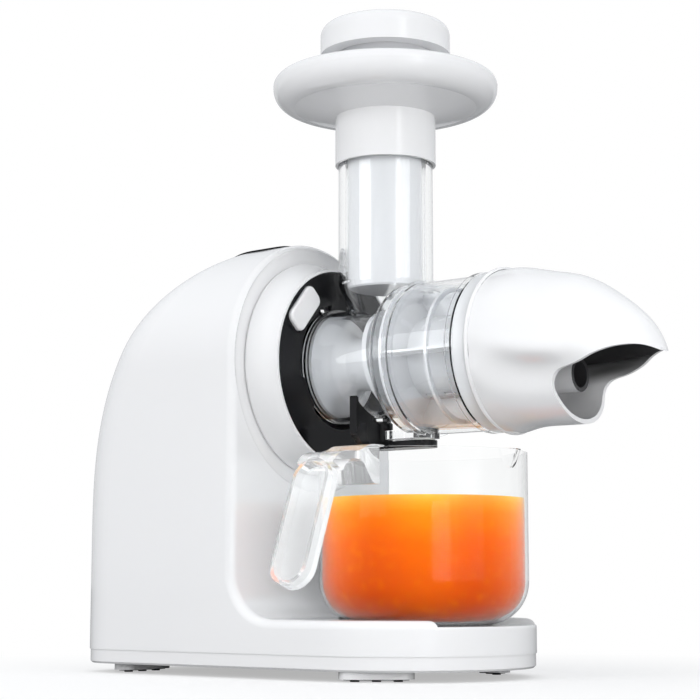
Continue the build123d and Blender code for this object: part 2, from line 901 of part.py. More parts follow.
def gear_points(teeth, module, turn):
    """Outline of a spur gear with involute flanks and one tooth at "turn"."""
    slope = radians(pressure_angle)
    pitch_r = teeth * module / 2
    base_r = pitch_r * cos(slope)
    root_r = pitch_r - root_share * module
    tip_r = pitch_r + tip_share * module
    half_tooth = pi / 2 / teeth - backlash / 4 / pitch_r
    points = []
    for tooth in range(teeth):
        centre = radians(turn) + 2 * pi * tooth / teeth
        flank = [(root_r, 0.0)]
        start_r = max(base_r, root_r + undercut_share * module)
        for step in range(flank_steps + 1):
            radius = start_r + (tip_r - start_r) * step / flank_steps
            roll = acos(base_r / radius) if radius > base_r else 0.0
            flank.append((radius, tan(roll) - roll))
        rest = half_tooth + tan(slope) - slope
        for radius, involute in flank:
            points.append((radius, centre - rest + involute))
        for radius, involute in reversed(flank):
            points.append((radius, centre + rest - involute))
    return [(radius * cos(angle), radius * sin(angle)) for radius, angle in points]


def gear(teeth, module, turn, place, bore_r, x_from, x_to):
    """Add a spur gear to the piece being built."""
    with BuildSketch(across(x_from, place[0], place[1]), mode=Mode.PRIVATE) as face:
        Polygon(*gear_points(teeth, module, turn), align=None)
        Circle(bore_r, mode=Mode.SUBTRACT)
    extrude(face.sketch, amount=x_to - x_from)


def towards(start, end):
    """Angle of the line from one shaft to the next, in the YZ plane."""
    return degrees(atan2(end[1] - start[1], end[0] - start[0]))


def meshing(start, end):
    """Turn that puts a large gear's gap on the line to the small gear."""
    return towards(end, start) + 180 / large_teeth


axle_bore_r = axle_r + run_gap
first_x = case_back_x + shell_wall + 2
first_end_x = first_x + gear_widths[0]
second_x = first_end_x + gear_gap
second_end_x = second_x + gear_widths[1]
third_x = second_end_x + gear_gap
third_end_x = third_x + gear_widths[2]

with BuildPart() as motor_pinion:
    pinion_turn = towards(motor_place, second_place)
    gear(small_teeth, modules[0], pinion_turn, motor_place, rotor_shaft_r, first_x, first_end_x)
write(motor_pinion, "motor_pinion")

with BuildPart() as first_gear:
    wheel_turn = meshing(motor_place, second_place)
    gear(large_teeth, modules[0], wheel_turn, second_place, axle_bore_r, first_x, first_end_x)
    ring(gear_hub_r, axle_bore_r, first_x, second_x, *second_place)
    pinion_turn = towards(second_place, third_place)
    gear(small_teeth, modules[1], pinion_turn, second_place, axle_bore_r, second_x, second_end_x)
    ring(gear_hub_r - 0.6, axle_bore_r, case_back_x + shell_wall + fit_gap, first_x, *second_place)
write(first_gear, "first_gear")

with BuildPart() as second_gear:
    wheel_turn = meshing(second_place, third_place)
    gear(large_teeth, modules[1], wheel_turn, third_place, axle_bore_r, second_x, second_end_x)
    ring(gear_hub_r, axle_bore_r, second_x, third_x, *third_place)
    pinion_turn = towards(third_place, output_place)
    gear(small_teeth, modules[2], pinion_turn, third_place, axle_bore_r, third_x, third_end_x)
write(second_gear, "second_gear")

with BuildPart() as output_gear:
    wheel_turn = meshing(third_place, output_place)
    gear(large_teeth, modules[2], wheel_turn, output_place, drive_r, third_x, third_end_x)
    ring(drive_r + drive_hub_wall, drive_r, third_x - drive_hub_wall, third_end_x)
write(output_gear, "output_gear")

with BuildPart() as gear_axles:
    for place in (second_place, third_place):
        ring(axle_r, 0, case_back_x + 0.5, socket_back_x - 0.5, *place)
write(gear_axles, "gear_axles")

case_front_x = socket_back_x - cover_wall


def case_outline(grow, ears):
    """Draw the outline round all four shafts in the sketch being made."""
    reach = [
        (output_place, modules[2] * large_teeth / 2),
        (third_place, modules[1] * large_teeth / 2),
        (second_place, modules[0] * large_teeth / 2),
        (motor_place, motor_boss_r),
    ]
    for (y, z), radius in reach:
        with Locations((y, z - axis_z)):
            Circle(radius + grow)
    if ears:
        for y, z in ear_places:
            with Locations((y, z - axis_z)):
                Circle(ear_r)
    make_hull()


with BuildPart() as gearbox_case:
    with BuildSketch(across(case_front_x)):
        case_outline(4 + shell_wall, True)
    extrude(amount=-ear_wall)
    with BuildSketch(across(case_front_x)):
        case_outline(4 + shell_wall, False)
    extrude(amount=case_back_x - case_front_x)
    with BuildSketch(across(case_front_x)):
        case_outline(4, False)
    extrude(amount=case_back_x + shell_wall - case_front_x, mode=Mode.SUBTRACT)
    ring(bearing_r + 3, 0, case_back_x, case_back_x + shell_wall + bearing_width)
    bore(bearing_r, case_back_x + shell_wall, case_back_x + shell_wall + bearing_width + 1)
    bore(drive_r + 1, case_back_x - 1, case_back_x + shell_wall + 1)
    for place in (second_place, third_place):
        bore(axle_r, case_back_x + 0.5, case_back_x + shell_wall + 1, *place)
    bore(rotor_shaft_r + bearing_lip, case_back_x - 1, case_back_x + shell_wall + 1, *motor_place)
    for y, z in ear_places:
        bore(screw_pilot_r + fit_gap, case_front_x - ear_wall - 1, case_front_x + 1, y, z)
write(gearbox_case, "gearbox_case")

with BuildPart() as gearbox_cover:
    with BuildSketch(across(case_front_x)):
        case_outline(4 + shell_wall, True)
    extrude(amount=cover_wall)
    ring(bearing_r + 3, 0, case_front_x - bearing_width + 1, case_front_x)
    bore(bearing_r, case_front_x - bearing_width, socket_back_x - bearing_lip)
    bore(drive_r + 1, case_front_x - bearing_width, socket_back_x + 1)
    for place in (second_place, third_place):
        bore(axle_r, case_front_x - 1, socket_back_x - 0.5, *place)
    for y, z in ear_places:
        bore(screw_pilot_r + fit_gap, case_front_x - 1, socket_back_x + 1, y, z)
    with BuildSketch(across(case_front_x - 1)):
        with PolarLocations(socket_screw_pcr, socket_screw_count, start_angle=socket_screw_turn):
            Circle(screw_pilot_r)
    extrude(amount=cover_wall + 2, mode=Mode.SUBTRACT)
write(gearbox_cover, "gearbox_cover")

with BuildPart() as gearbox_screws:
    for y, z in ear_places:
        head_x = case_front_x - ear_wall
        ring(screw_head_r, 0, head_x - screw_head_depth, head_x, y, z)
        ring(screw_pilot_r, 0, head_x, front_x - ear_screw_tip, y, z)
write(gearbox_screws, "gearbox_screws")

rear_bearing_x = case_back_x + shell_wall
with BuildPart() as drive_bearings:
    ring(bearing_r, drive_r + run_gap, rear_bearing_x, rear_bearing_x + bearing_width)
    ring(bearing_r, drive_r + run_gap, case_front_x - bearing_width + 1, socket_back_x - bearing_lip)
write(drive_bearings, "drive_bearings")

with BuildPart() as drive_shaft:
    ring(drive_r, 0, case_back_x + 0.5, hex_tip_x - hex_reach)
    with BuildSketch(across(hex_tip_x - hex_reach)):
        RegularPolygon(hex_width / 2, 6, major_radius=False)
    extrude(amount=hex_reach)
write(drive_shaft, "drive_shaft")

with BuildPart() as shaft_seal:
    ring(seal_pocket_r, drive_r + run_gap, socket_back_x, socket_floor_x)
write(shaft_seal, "shaft_seal")

# ---------------------------------------------------------------------------
# Motor
# ---------------------------------------------------------------------------

motor_front_x = case_back_x
stator_front_x = motor_front_x - bell_depth
stator_back_x = stator_front_x - stator_length
motor_back_x = stator_back_x - bell_depth + 4


def bell(x_plate, x_rim):
    """End bell of the motor: a plate with a bearing seat and a rim."""
    inward = 1 if x_rim > x_plate else -1
    plate = x_plate + inward * shell_wall
    ring(motor_r, motor_bearing_r, min(x_plate, plate), max(x_plate, plate), *motor_place)
    ring(motor_r, motor_r - shell_wall, min(plate, x_rim), max(plate, x_rim), *motor_place)
    seat = x_plate + inward * motor_bearing_width
    low, high = min(x_plate, seat), max(x_plate, seat)
    ring(motor_bearing_r + 2, motor_bearing_r, low, high, *motor_place)


with BuildPart() as motor_front_bell:
    bell(motor_front_x, stator_front_x)
write(motor_front_bell, "motor_front_bell")

with BuildPart() as motor_rear_bell:
    bell(motor_back_x, stator_back_x)
write(motor_rear_bell, "motor_rear_bell")

with BuildPart() as motor_bearings:
    inner = rotor_shaft_r + run_gap
    width = motor_bearing_width
    ring(motor_bearing_r, inner, motor_front_x - width, motor_front_x, *motor_place)
    ring(motor_bearing_r, inner, motor_back_x, motor_back_x + width, *motor_place)
write(motor_bearings, "motor_bearings")

with BuildPart() as stator:
    ring(motor_r, rotor_r + air_gap, stator_back_x, stator_front_x, *motor_place)
    with BuildSketch(across(stator_back_x, motor_place[0], motor_place[1])):
        slot_place_r = (motor_r + rotor_r) / 2
        half_step = 180 / stator_slot_count
        with PolarLocations(slot_place_r, stator_slot_count, start_angle=half_step):
            SlotOverall(stator_slot, stator_slot_wide)
    extrude(amount=stator_length, mode=Mode.SUBTRACT)
write(stator, "stator")

with BuildPart() as rotor:
    ring(rotor_r, rotor_shaft_r, stator_back_x + 1, stator_front_x - 1, *motor_place)
    with BuildSketch(across(stator_back_x + 1, motor_place[0], motor_place[1])):
        with PolarLocations(rotor_r - 1, rotor_slot_count):
            Rectangle(rotor_slot, rotor_slot_wide)
    extrude(amount=stator_length - 2, mode=Mode.SUBTRACT)
write(rotor, "rotor")

with BuildPart() as commutator:
    start_x = stator_front_x + 1
    ring(commutator_r, rotor_shaft_r, start_x, start_x + commutator_length, *motor_place)
write(commutator, "commutator")

with BuildPart() as rotor_shaft:
    ring(rotor_shaft_r, 0, motor_back_x - fan_depth - 3, first_end_x, *motor_place)
write(rotor_shaft, "rotor_shaft")

with BuildPart() as cooling_fan:
    fan_x = motor_back_x - fan_depth - 2
    ring(fan_hub_r, rotor_shaft_r, fan_x, fan_x + fan_depth, *motor_place)
    ring(fan_r, fan_hub_r - 1, fan_x, fan_x + fan_blade, *motor_place)
    with BuildSketch(across(fan_x, motor_place[0], motor_place[1])):
        with PolarLocations((fan_r + fan_hub_r) / 2, fan_blade_count):
            Rectangle(fan_r - fan_hub_r, fan_blade, rotation=fan_lean)
    extrude(amount=fan_depth)
write(cooling_fan, "cooling_fan")

# ---------------------------------------------------------------------------
# Drum with its feed tube
# ---------------------------------------------------------------------------

drum_bore_r = drum_r - drum_wall
neck_bore_r = neck_r - neck_wall
tube_bore_r = tube_r - tube_wall


def turned(points, axis, mode=Mode.ADD):
    """Revolve a closed outline, given as (x, z) points of the side plane."""
    with BuildSketch(side, mode=Mode.PRIVATE) as half:
        Polygon(*points, align=None)
    revolve(half.sketch, axis=axis, mode=mode)


with BuildPart() as juicing_drum:
    ring(neck_r, 0, neck_back_x, drum_back_x + 1)
    ring(drum_r, 0, drum_back_x, spigot_x)
    shoulder = juicing_drum.edges().filter_by(GeomType.CIRCLE).filter_by(
        lambda edge: abs(edge.radius - drum_r) < touch and edge.center().X < tube_x + drum_back_x + 1
    )
    fillet(shoulder, min(drum_shoulder, (drum_r - neck_r) / 3))
    ring(spigot_r, 0, spigot_x, drum_front_x)
    for station in drum_rib_x:
        ring(drum_r + rib_height, 0, station, station + rib_width)
    ring(neck_band_r, 0, disc_back_x + fit_gap, disc_x + 2)
    lug_ring(lug_r, neck_r - 1, lug_arc, lug_turn, neck_back_x, disc_back_x - fit_gap)
    lug_front_x = drum_front_x - lug_inset
    lug_back_x = lug_front_x - lug_wall
    lug_ring(cap_lug_r, spigot_r - 1, cap_lug_arc, lug_turn, lug_back_x, lug_front_x)
    turned(
        [
            (0, axis_z),
            (throat_r, axis_z),
            (throat_r, throat_end_z),
            (tube_r, throat_z),
            (tube_r, tube_top_z),
            (0, tube_top_z),
        ],
        tube_axis,
    )
    # outlet block under the drum and the boss that the lever hangs from
    with BuildSketch(level(block_bottom_z)):
        with Locations(((block_back_x + block_front_x) / 2, 0)):
            RectangleRounded(block_front_x - block_back_x, 2 * block_half, 4.0)
    extrude(amount=axis_z - drum_r + 3 - block_bottom_z)
    with BuildSketch(level(post_top_z + fit_gap)):
        with Locations((pivot_x, 0)):
            Circle(post_r - 1)
    extrude(amount=6)
    with BuildSketch(level(post_top_z - pivot_depth)):
        with Locations((pivot_x, 0)):
            Circle(pivot_r)
    extrude(amount=pivot_depth + 3)
    # inside
    bore(neck_bore_r, neck_back_x + drum_floor, drum_back_x + 1)
    bore(drum_bore_r, drum_back_x + drum_wall, drum_front_x + 1)
    bore(neck_bore_r, drum_back_x, drum_back_x + drum_wall + 1)
    bore(seal_r, neck_back_x - 1, neck_back_x + drum_floor + 1)
    turned(
        [
            (0, axis_z),
            (throat_r - tube_wall, axis_z),
            (throat_r - tube_wall, throat_end_z),
            (tube_bore_r, throat_z),
            (tube_bore_r, tube_top_z + 1),
            (0, tube_top_z + 1),
        ],
        tube_axis,
        Mode.SUBTRACT,
    )
    with BuildSketch(level(block_bottom_z - 1)):
        with Locations((outlet_x, 0)):
            Circle(outlet_r)
    extrude(amount=20, mode=Mode.SUBTRACT)
write(juicing_drum, "juicing_drum")

with BuildPart() as auger_seal:
    ring(seal_r, hub_r + run_gap, neck_back_x - seal_wall, neck_back_x + drum_floor + seal_wall)
    ring(seal_r + seal_lip, seal_r - 1, neck_back_x + drum_floor, neck_back_x + drum_floor + seal_wall)
    ring(seal_r + seal_lip, seal_r - 1, neck_back_x - seal_wall, neck_back_x)
write(auger_seal, "auger_seal")

# ---------------------------------------------------------------------------
# Auger
# ---------------------------------------------------------------------------


def flight(x_from, x_to, pitch, inner, outer, wall):
    """Helical flight about the drum axis, added to the piece being built."""
    start = Vector(tube_x + x_from, mid_y, axis_z)
    middle_r = (inner + outer) / 2
    direction = (1, 0, 0)
    path = Helix(pitch, x_to - x_from, middle_r, center=start, direction=direction, mode=Mode.PRIVATE)
    begin = path @ 0
    radial = begin - start
    with BuildSketch(Plane(origin=begin, x_dir=radial, z_dir=path % 0), mode=Mode.PRIVATE) as blade:
        Rectangle(outer - inner, wall)
    sweep(blade.sketch, path=path, is_frenet=True)


with BuildPart() as auger:
    with BuildSketch(side):
        with BuildLine():
            Polyline(
                (flange_x - hub_length, axis_z),
                (flange_x - hub_length, axis_z + hub_r),
                (flange_x, axis_z + hub_r),
                (flange_x, axis_z + flange_r),
                (flange_x + 4, axis_z + flange_r),
            )
            ThreePointArc(
                (flange_x + 4, axis_z + flange_r),
                (flange_x + flange_wall, axis_z + core_r + flange_swell),
                (flange_x + flange_run, axis_z + core_r),
            )
            Polyline(
                (flange_x + flange_run, axis_z + core_r),
                (fine_start_x, axis_z + core_r),
                (screw_end_x, axis_z + fine_core_r),
                (screw_end_x + 3, axis_z + nose_r),
                (nose_end_x, axis_z + nose_r),
                (nose_end_x, axis_z + auger_pin_r),
                (auger_pin_end_x, axis_z + auger_pin_r),
                (auger_pin_end_x, axis_z),
                (flange_x - hub_length, axis_z),
            )
        make_face()
    revolve(axis=drum_axis)
    flight(flight_start_x, coarse_end_x - 4, coarse_pitch, core_r - 1, coarse_flight_r, coarse_flight_wall)
    flight(fine_start_x + 3, screw_end_x - 4, fine_pitch, core_r - 1, fine_flight_r, fine_flight_wall)
    with BuildSketch(across(flange_x - hub_length)):
        RegularPolygon(hex_width / 2 + slip_gap, 6, major_radius=False)
    extrude(amount=hex_tip_x + 1 - (flange_x - hub_length), mode=Mode.SUBTRACT)
write(auger, "auger")

# ---------------------------------------------------------------------------
# Strainer
# ---------------------------------------------------------------------------

cage_bore_r = cage_r - cage_wall
mesh_bore_r = cage_bore_r - mesh_wall
cage_outer_r = drum_bore_r - slip_gap
with BuildPart() as strainer_cage:
    ring(cage_outer_r, cage_outer_r - 3, cage_back_x, cage_back_x + cage_flange)
    turned(
        [
            (cage_back_x, axis_z + coarse_flight_r + 1),
            (cage_back_x, axis_z + cage_outer_r - 1),
            (cage_back_x + cage_flange, axis_z + cage_outer_r - 1),
            (cage_back_x + cage_flange, axis_z + coarse_flight_r + 3),
            (cage_back_x + cage_lead, axis_z + cage_r),
            (cage_back_x + cage_lead, axis_z + cage_bore_r),
        ],
        drum_axis,
    )
    ring(cage_r, cage_bore_r, cage_back_x + cage_lead, cage_front_x)
    ring(cage_outer_r, cage_bore_r, cage_front_x - cage_flange, cage_front_x)
    ring(cage_ring_r, cage_ring_r - cage_ring_wall, cage_ring_x, cage_ring_x + 2)
    with BuildSketch(across(cage_back_x + 1)):
        with PolarLocations((cage_r + cage_ring_r - 1) / 2, cage_ribs):
            Rectangle(cage_ring_r - cage_r, cage_rib_wall)
    extrude(amount=cage_front_x - cage_back_x - 2)
    bore(cage_bore_r, cage_back_x + cage_lead, cage_front_x + 1)
    # windows in the underside, that the mesh covers
    for row in range(window_rows):
        start_x = window_start_x + row * window_pitch
        end_x = start_x + window_length
        for step in range(window_count):
            turn = window_first + step * window_step
            lug_ring(cage_r, 1, window_arc, turn, start_x, end_x, Mode.SUBTRACT, 1)
write(strainer_cage, "strainer_cage")

with BuildPart() as strainer_mesh:
    ring(cage_bore_r, mesh_bore_r, cage_back_x + cage_lead + 1, cage_front_x - cage_flange)
write(strainer_mesh, "strainer_mesh")

# ---------------------------------------------------------------------------
# Nozzle cap with its locking ring and pulp plate
# ---------------------------------------------------------------------------

cap_bore_r = cap_r - cap_wall
with BuildPart() as locking_ring:
    ring(lock_ring_r, cap_lug_r + fit_gap, spigot_x + fit_gap, drum_front_x + 0.4)
    tab_x = lug_back_x - fit_gap
    lug_ring(cap_lug_r + 1, spigot_r + fit_gap, cap_lug_arc - 2, lug_turn, spigot_x + fit_gap, tab_x)
    ring(lock_ring_r, drum_bore_r - 1, drum_front_x + fit_gap, drum_front_x + fit_gap + 1)
    ring(cap_bore_r - slip_gap, drum_bore_r - 1, drum_front_x + fit_gap + 1, pulp_plate_x)
write(locking_ring, "locking_ring")


def cap_section(station, shrink):
    """Closed outline of the nozzle cap at one station, as (y, z) points."""
    x, half, top, waist, drop, spout = station
    half = half - shrink
    rise = top - waist - shrink
    drop = drop - shrink
    outline = []
    for step in range(section_steps):
        turn = radians(90 - 90 * step / section_steps)
        outline.append((half * cos(turn), waist + rise * sin(turn)))
    for step in range(section_steps + 1):
        turn = radians(90 * step / section_steps)
        round_y = half * cos(turn)
        round_z = waist - drop * sin(turn)
        spout_r = trough_r - shrink
        reach = min(1, (waist - round_z) / (waist - trough_z))
        spout_y = half + (spout_r - half) * reach**spout_blend
        if round_z < trough_z:
            fall = (trough_z - round_z) / (trough_z - waist + drop)
            spout_y = spout_r * sqrt(max(0, 1 - fall**2))
        outline.append((round_y + (spout_y - round_y) * spout, round_z))
    mirrored = [(-y, z) for y, z in reversed(outline[1:-1])]
    return [(y, z - axis_z) for y, z in outline + mirrored]


def cap_form(shrink):
    """Solid form of the nozzle cap, its walls moved inwards by "shrink"."""
    with BuildPart() as form:
        for station in cap_stations:
            pull = shrink if station is cap_stations[-1] else 0
            with BuildSketch(across(station[0] - pull)):
                with BuildLine():
                    Spline(*cap_section(station, shrink), periodic=True)
                make_face()
        loft()
    return form


ledge_x = pulp_plate_x + pulp_plate_wall
with BuildPart() as cap_cavity:
    add(cap_form(cap_wall).part)
    with BuildSketch(across(ledge_x + ledge_wall)):
        Rectangle(3 * cap_r, 3 * cap_r)
    extrude(amount=cap_stations[-1][0], mode=Mode.INTERSECT)

with BuildPart() as nozzle_cap:
    add(cap_form(0).part)
    add(cap_cavity.part, mode=Mode.SUBTRACT)
    bore(cap_bore_r, cap_back_x - 1, ledge_x)
    bore(cap_bore_r - ledge_step, ledge_x - 1, ledge_x + ledge_wall + 1)
    with BuildSketch(side):
        with Locations((cap_back_x + bead_r, axis_z + cap_r)):
            Circle(bead_r)
    revolve(axis=drum_axis)
    # mouth: everything in front of the spout's end and under the hood's edge
    with BuildSketch(side):
        with BuildLine():
            Spline(*mouth_edge)
            Polyline(
                mouth_edge[-1],
                (mouth_edge[-1][0], mouth_edge[0][1]),
                mouth_edge[0],
            )
        make_face()
    extrude(amount=cap_r, both=True, mode=Mode.SUBTRACT)
write(nozzle_cap, "nozzle_cap")

with BuildPart() as pulp_plate:
    ring(cap_bore_r - slip_gap, 0, pulp_plate_x, ledge_x)
    ring(bush_r + bush_wall, 0, nose_end_x + 2, auger_pin_end_x + bush_wall)
    ring(cage_r + cage_skirt, cage_bore_r, cage_front_x + fit_gap, pulp_plate_x)
    ring(pulp_tube_r, 0, ledge_x, pulp_tube_end_x, 0, pulp_hole_z)
    bore(pulp_tube_r - pulp_tube_wall, ledge_x, pulp_tube_end_x + 1, 0, pulp_hole_z)
    bore(bush_r, nose_end_x + 1, auger_pin_end_x + 1)
    with BuildSketch(across(pulp_plate_x - 1)):
        with Locations((0, pulp_hole_z - axis_z)):
            Circle(pulp_hole_r)
        Circle(cage_bore_r - 0.5, mode=Mode.INTERSECT)
    extrude(amount=pulp_plate_wall + 2, mode=Mode.SUBTRACT)
write(pulp_plate, "pulp_plate")

with BuildPart() as auger_bush:
    ring(bush_r, auger_pin_r + run_gap, nose_end_x + bush_end_gap, auger_pin_end_x + 1)
write(auger_bush, "auger_bush")

# ---------------------------------------------------------------------------
# Lever valve under the outlet
# ---------------------------------------------------------------------------

with BuildPart() as outlet_valve:
    with BuildSketch(level(valve_bottom_z)):
        with Locations(((pivot_x + block_front_x) / 2, 0)):
            SlotOverall(block_front_x - pivot_x + bar_nose, 2 * bar_half)
    extrude(amount=bar_depth)
    with BuildSketch(level(valve_bottom_z)):
        with Locations((pivot_x, 0)):
            Circle(pivot_boss_r)
    extrude(amount=bar_depth)
    with BuildSketch(level(valve_bottom_z)):
        with Locations((pivot_x, 0)):
            Circle(post_r)
    extrude(amount=post_top_z - valve_bottom_z)
    chamfer(outlet_valve.edges().group_by(Axis.Z)[-1], post_edge)
    # thumb wing: a web with a broad rim, cut to clear the neck as it swings
    swing = cos(radians(valve_swing))
    clear_r = neck_r + wing_gap
    crest = [(0, post_top_z - crest_drop), (-post_r - 1, post_top_z - crest_drop)]
    for step in range(2, wing_steps + 1):
        reach = wing_reach * step / wing_steps
        crest.append((-reach, min(wing_top_z, axis_z - sqrt(clear_r**2 - (reach * swing) ** 2))))
    with BuildSketch(across(pivot_x - wing_wall / 2, 0, 0)):
        Polygon(
            *crest,
            (-wing_reach, valve_bottom_z + wing_corner),
            (-wing_reach + wing_corner, valve_bottom_z),
            (0, valve_bottom_z),
            align=None,
        )
    extrude(amount=wing_wall)
    with BuildSketch(across(pivot_x - wing_rim / 2, 0, 0)):
        Polygon(
            crest[-1],
            (-wing_reach, valve_bottom_z + wing_corner),
            (-wing_reach + wing_corner, valve_bottom_z),
            (-post_r, valve_bottom_z),
            (-post_r, valve_bottom_z + rim_wall),
            (-wing_reach + wing_corner + rim_wall / 2, valve_bottom_z + rim_wall),
            (-wing_reach + rim_wall, valve_bottom_z + wing_corner + rim_wall / 2),
            (-wing_reach + rim_wall, crest[-1][1] - rim_wall / 2),
            align=None,
        )
    extrude(amount=wing_rim)
    with BuildSketch(level(post_top_z + 1)):
        with Locations((pivot_x, 0)):
            Circle(pivot_r + run_gap)
    extrude(amount=-pivot_depth - 2, mode=Mode.SUBTRACT)
    with BuildSketch(level(valve_bottom_z + bar_depth)):
        with Locations((outlet_x, 0)):
            Circle(plug_r)
    extrude(amount=-plug_seat, mode=Mode.SUBTRACT)
write(outlet_valve, "outlet_valve")

with BuildPart() as valve_plug:
    with BuildSketch(level(valve_bottom_z + bar_depth - plug_seat)):
        with Locations((outlet_x, 0)):
            Circle(plug_r)
    extrude(amount=block_bottom_z - fit_gap - (valve_bottom_z + bar_depth - plug_seat))
write(valve_plug, "valve_plug")

# ---------------------------------------------------------------------------
# Feeding tray and pusher
# ---------------------------------------------------------------------------

with BuildPart() as feeding_tray:
    with BuildSketch(side):
        with BuildLine():
            Polyline(
                (tube_r + fit_gap, collar_bottom_z),
                (collar_r, collar_bottom_z),
                (collar_r, collar_top_z),
                (tray_r - bowl_foot[0], collar_top_z + bowl_foot[1]),
            )
            ThreePointArc(
                (tray_r - bowl_foot[0], collar_top_z + bowl_foot[1]),
                (tray_r - bowl_belly[0], collar_top_z + bowl_belly[1]),
                (tray_r, tray_top_z - brim_drop),
            )
            ThreePointArc(
                (tray_r, tray_top_z - brim_drop),
                (tray_r - brim_round[0], tray_top_z - brim_round[1]),
                (tray_r - brim_edge, tray_top_z),
            )
            brim_inner_r = tray_r - brim_edge - brim_flat
            Line((tray_r - brim_edge, tray_top_z), (brim_inner_r, tray_top_z))
            ThreePointArc(
                (brim_inner_r, tray_top_z),
                (tray_r - dish_corner[0], tray_floor_z + dish_corner[1]),
                (tray_r - dish_in, tray_floor_z),
            )
            Polyline(
                (tray_r - dish_in, tray_floor_z),
                (tray_bore_r, tray_floor_z),
                (tray_bore_r, tube_top_z + fit_gap),
                (tube_r + fit_gap, tube_top_z + fit_gap),
                (tube_r + fit_gap, collar_bottom_z),
            )
        make_face()
    revolve(axis=tube_axis)
write(feeding_tray, "feeding_tray")

with BuildPart() as pusher:
    turned(
        [
            (0, pusher_bottom_z),
            (pusher_r - 1, pusher_bottom_z),
            (pusher_r, pusher_bottom_z + 1),
            (pusher_r, tray_floor_z),
            (pusher_neck_r, tray_floor_z),
            (pusher_neck_r, knob_bottom_z + knob_seat),
            (pusher_neck_r - pusher_wall, knob_bottom_z + knob_seat),
            (pusher_neck_r - pusher_wall, tray_floor_z + pusher_wall),
            (pusher_r - pusher_wall, tray_floor_z + pusher_wall),
            (pusher_r - pusher_wall, pusher_bottom_z + pusher_wall),
            (0, pusher_bottom_z + pusher_wall),
        ],
        tube_axis,
    )
write(pusher, "pusher")

with BuildPart() as pusher_knob:
    turned([(0, knob_bottom_z), (knob_r, knob_bottom_z), (knob_r, knob_top_z), (0, knob_top_z)], tube_axis)
    fillet(pusher_knob.edges().filter_by(GeomType.CIRCLE).group_by(Axis.Z)[-1], knob_round)
    turned(
        [
            (0, knob_bottom_z - 1),
            (pusher_neck_r + slip_gap, knob_bottom_z - 1),
            (pusher_neck_r + slip_gap, knob_bottom_z + knob_seat),
            (pusher_neck_r - 4, knob_top_z - knob_dish),
            (0, knob_top_z - knob_dish),
        ],
        tube_axis,
        Mode.SUBTRACT,
    )
write(pusher_knob, "pusher_knob")

# ---------------------------------------------------------------------------
# Jug
# ---------------------------------------------------------------------------

jug_floor_z = deck_z - bay_depth


def jug_form(grow):
    """Solid form of the jug, shrunk by a negative "grow"."""
    radius = jug_r + grow
    corner = jug_corner + grow
    floor = jug_floor_z - grow
    with BuildPart() as form:
        with BuildSketch(side):
            with BuildLine():
                Line((jug_x, floor), (jug_x + radius - corner, floor))
                RadiusArc((jug_x + radius - corner, floor), (jug_x + radius, floor + corner), -corner)
                Line((jug_x + radius, floor + corner), (jug_x + radius, jug_rim_z))
                Line((jug_x + radius, jug_rim_z), (jug_x, jug_rim_z))
                Line((jug_x, jug_rim_z), (jug_x, floor))
            make_face()
        revolve(axis=jug_axis)
        # pouring lip
        with BuildSketch(level(jug_rim_z - lip_depth)):
            with Locations((jug_x + radius - lip_r - 0.5, 0)):
                Circle(lip_r)
        with BuildSketch(level(jug_rim_z)):
            with Locations((jug_x + radius - lip_r + lip_reach, 0)):
                Circle(lip_r)
        loft()
    return form


with BuildPart() as jug:
    add(jug_form(0).part)
    add(jug_form(-jug_wall).part, mode=Mode.SUBTRACT)
write(jug, "jug")

with BuildPart() as jug_handle:
    with BuildSketch(across(jug_x - arm_half, 0, 0)):
        with BuildLine():
            saddle_z = jug_rim_z + saddle_rise
            inner_z = jug_rim_z - inner_drop
            arm_low_z = jug_rim_z - arm_drop
            Spline(
                (-jug_r - saddle_out, saddle_z),
                (-jug_r - arm_dip[0], jug_rim_z - arm_dip[1]),
                (grip_top_y + arm_bend[0], jug_rim_z - arm_bend[1]),
                (grip_top_y, jug_rim_z - shoulder_drop),
                tangents=[(-1, 0), (-grip_slope, -1)],
            )
            Line((grip_top_y, jug_rim_z - shoulder_drop), (grip_top_y + grip_depth, inner_z))
            Spline(
                (grip_top_y + grip_depth, inner_z),
                (-jug_r - elbow[0], jug_rim_z - elbow[1]),
                (-jug_r - elbow_foot, arm_low_z),
                tangents=[(0.5, 1), (1, -0.6)],
            )
            Polyline(
                (-jug_r - elbow_foot, arm_low_z),
                (-jug_r + saddle_in, arm_low_z),
                (-jug_r + saddle_in, saddle_z),
                (-jug_r - saddle_out, saddle_z),
            )
        make_face()
    extrude(amount=2 * arm_half)
    grip_start_z = jug_rim_z - grip_start
    lean = atan2(grip_top_y - grip_end_y, grip_start_z - grip_end_z)
    grip_length = hypot(grip_top_y - grip_end_y, grip_start_z - grip_end_z)
    grip_plane = Plane(
        origin=(tube_x + jug_x, mid_y + grip_top_y, grip_start_z),
        x_dir=(1, 0, 0),
        z_dir=(0, cos(lean), -sin(lean)),
    )
    with BuildSketch(grip_plane):
        with Locations((0, grip_length / 2)):
            SlotOverall(grip_length, 2 * grip_half, rotation=90)
    extrude(amount=grip_depth)
    with BuildSketch(grip_plane):
        with Locations((0, grip_length / 2)):
            SlotOverall(grip_length - 2 * grip_wall, 2 * (grip_half - grip_wall), rotation=90)
    extrude(amount=grip_depth - grip_wall, mode=Mode.SUBTRACT)
    add(jug_form(0).part, mode=Mode.SUBTRACT)
write(jug_handle, "jug_handle")
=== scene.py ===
"""Looks of the cold press juicer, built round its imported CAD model."""

import math

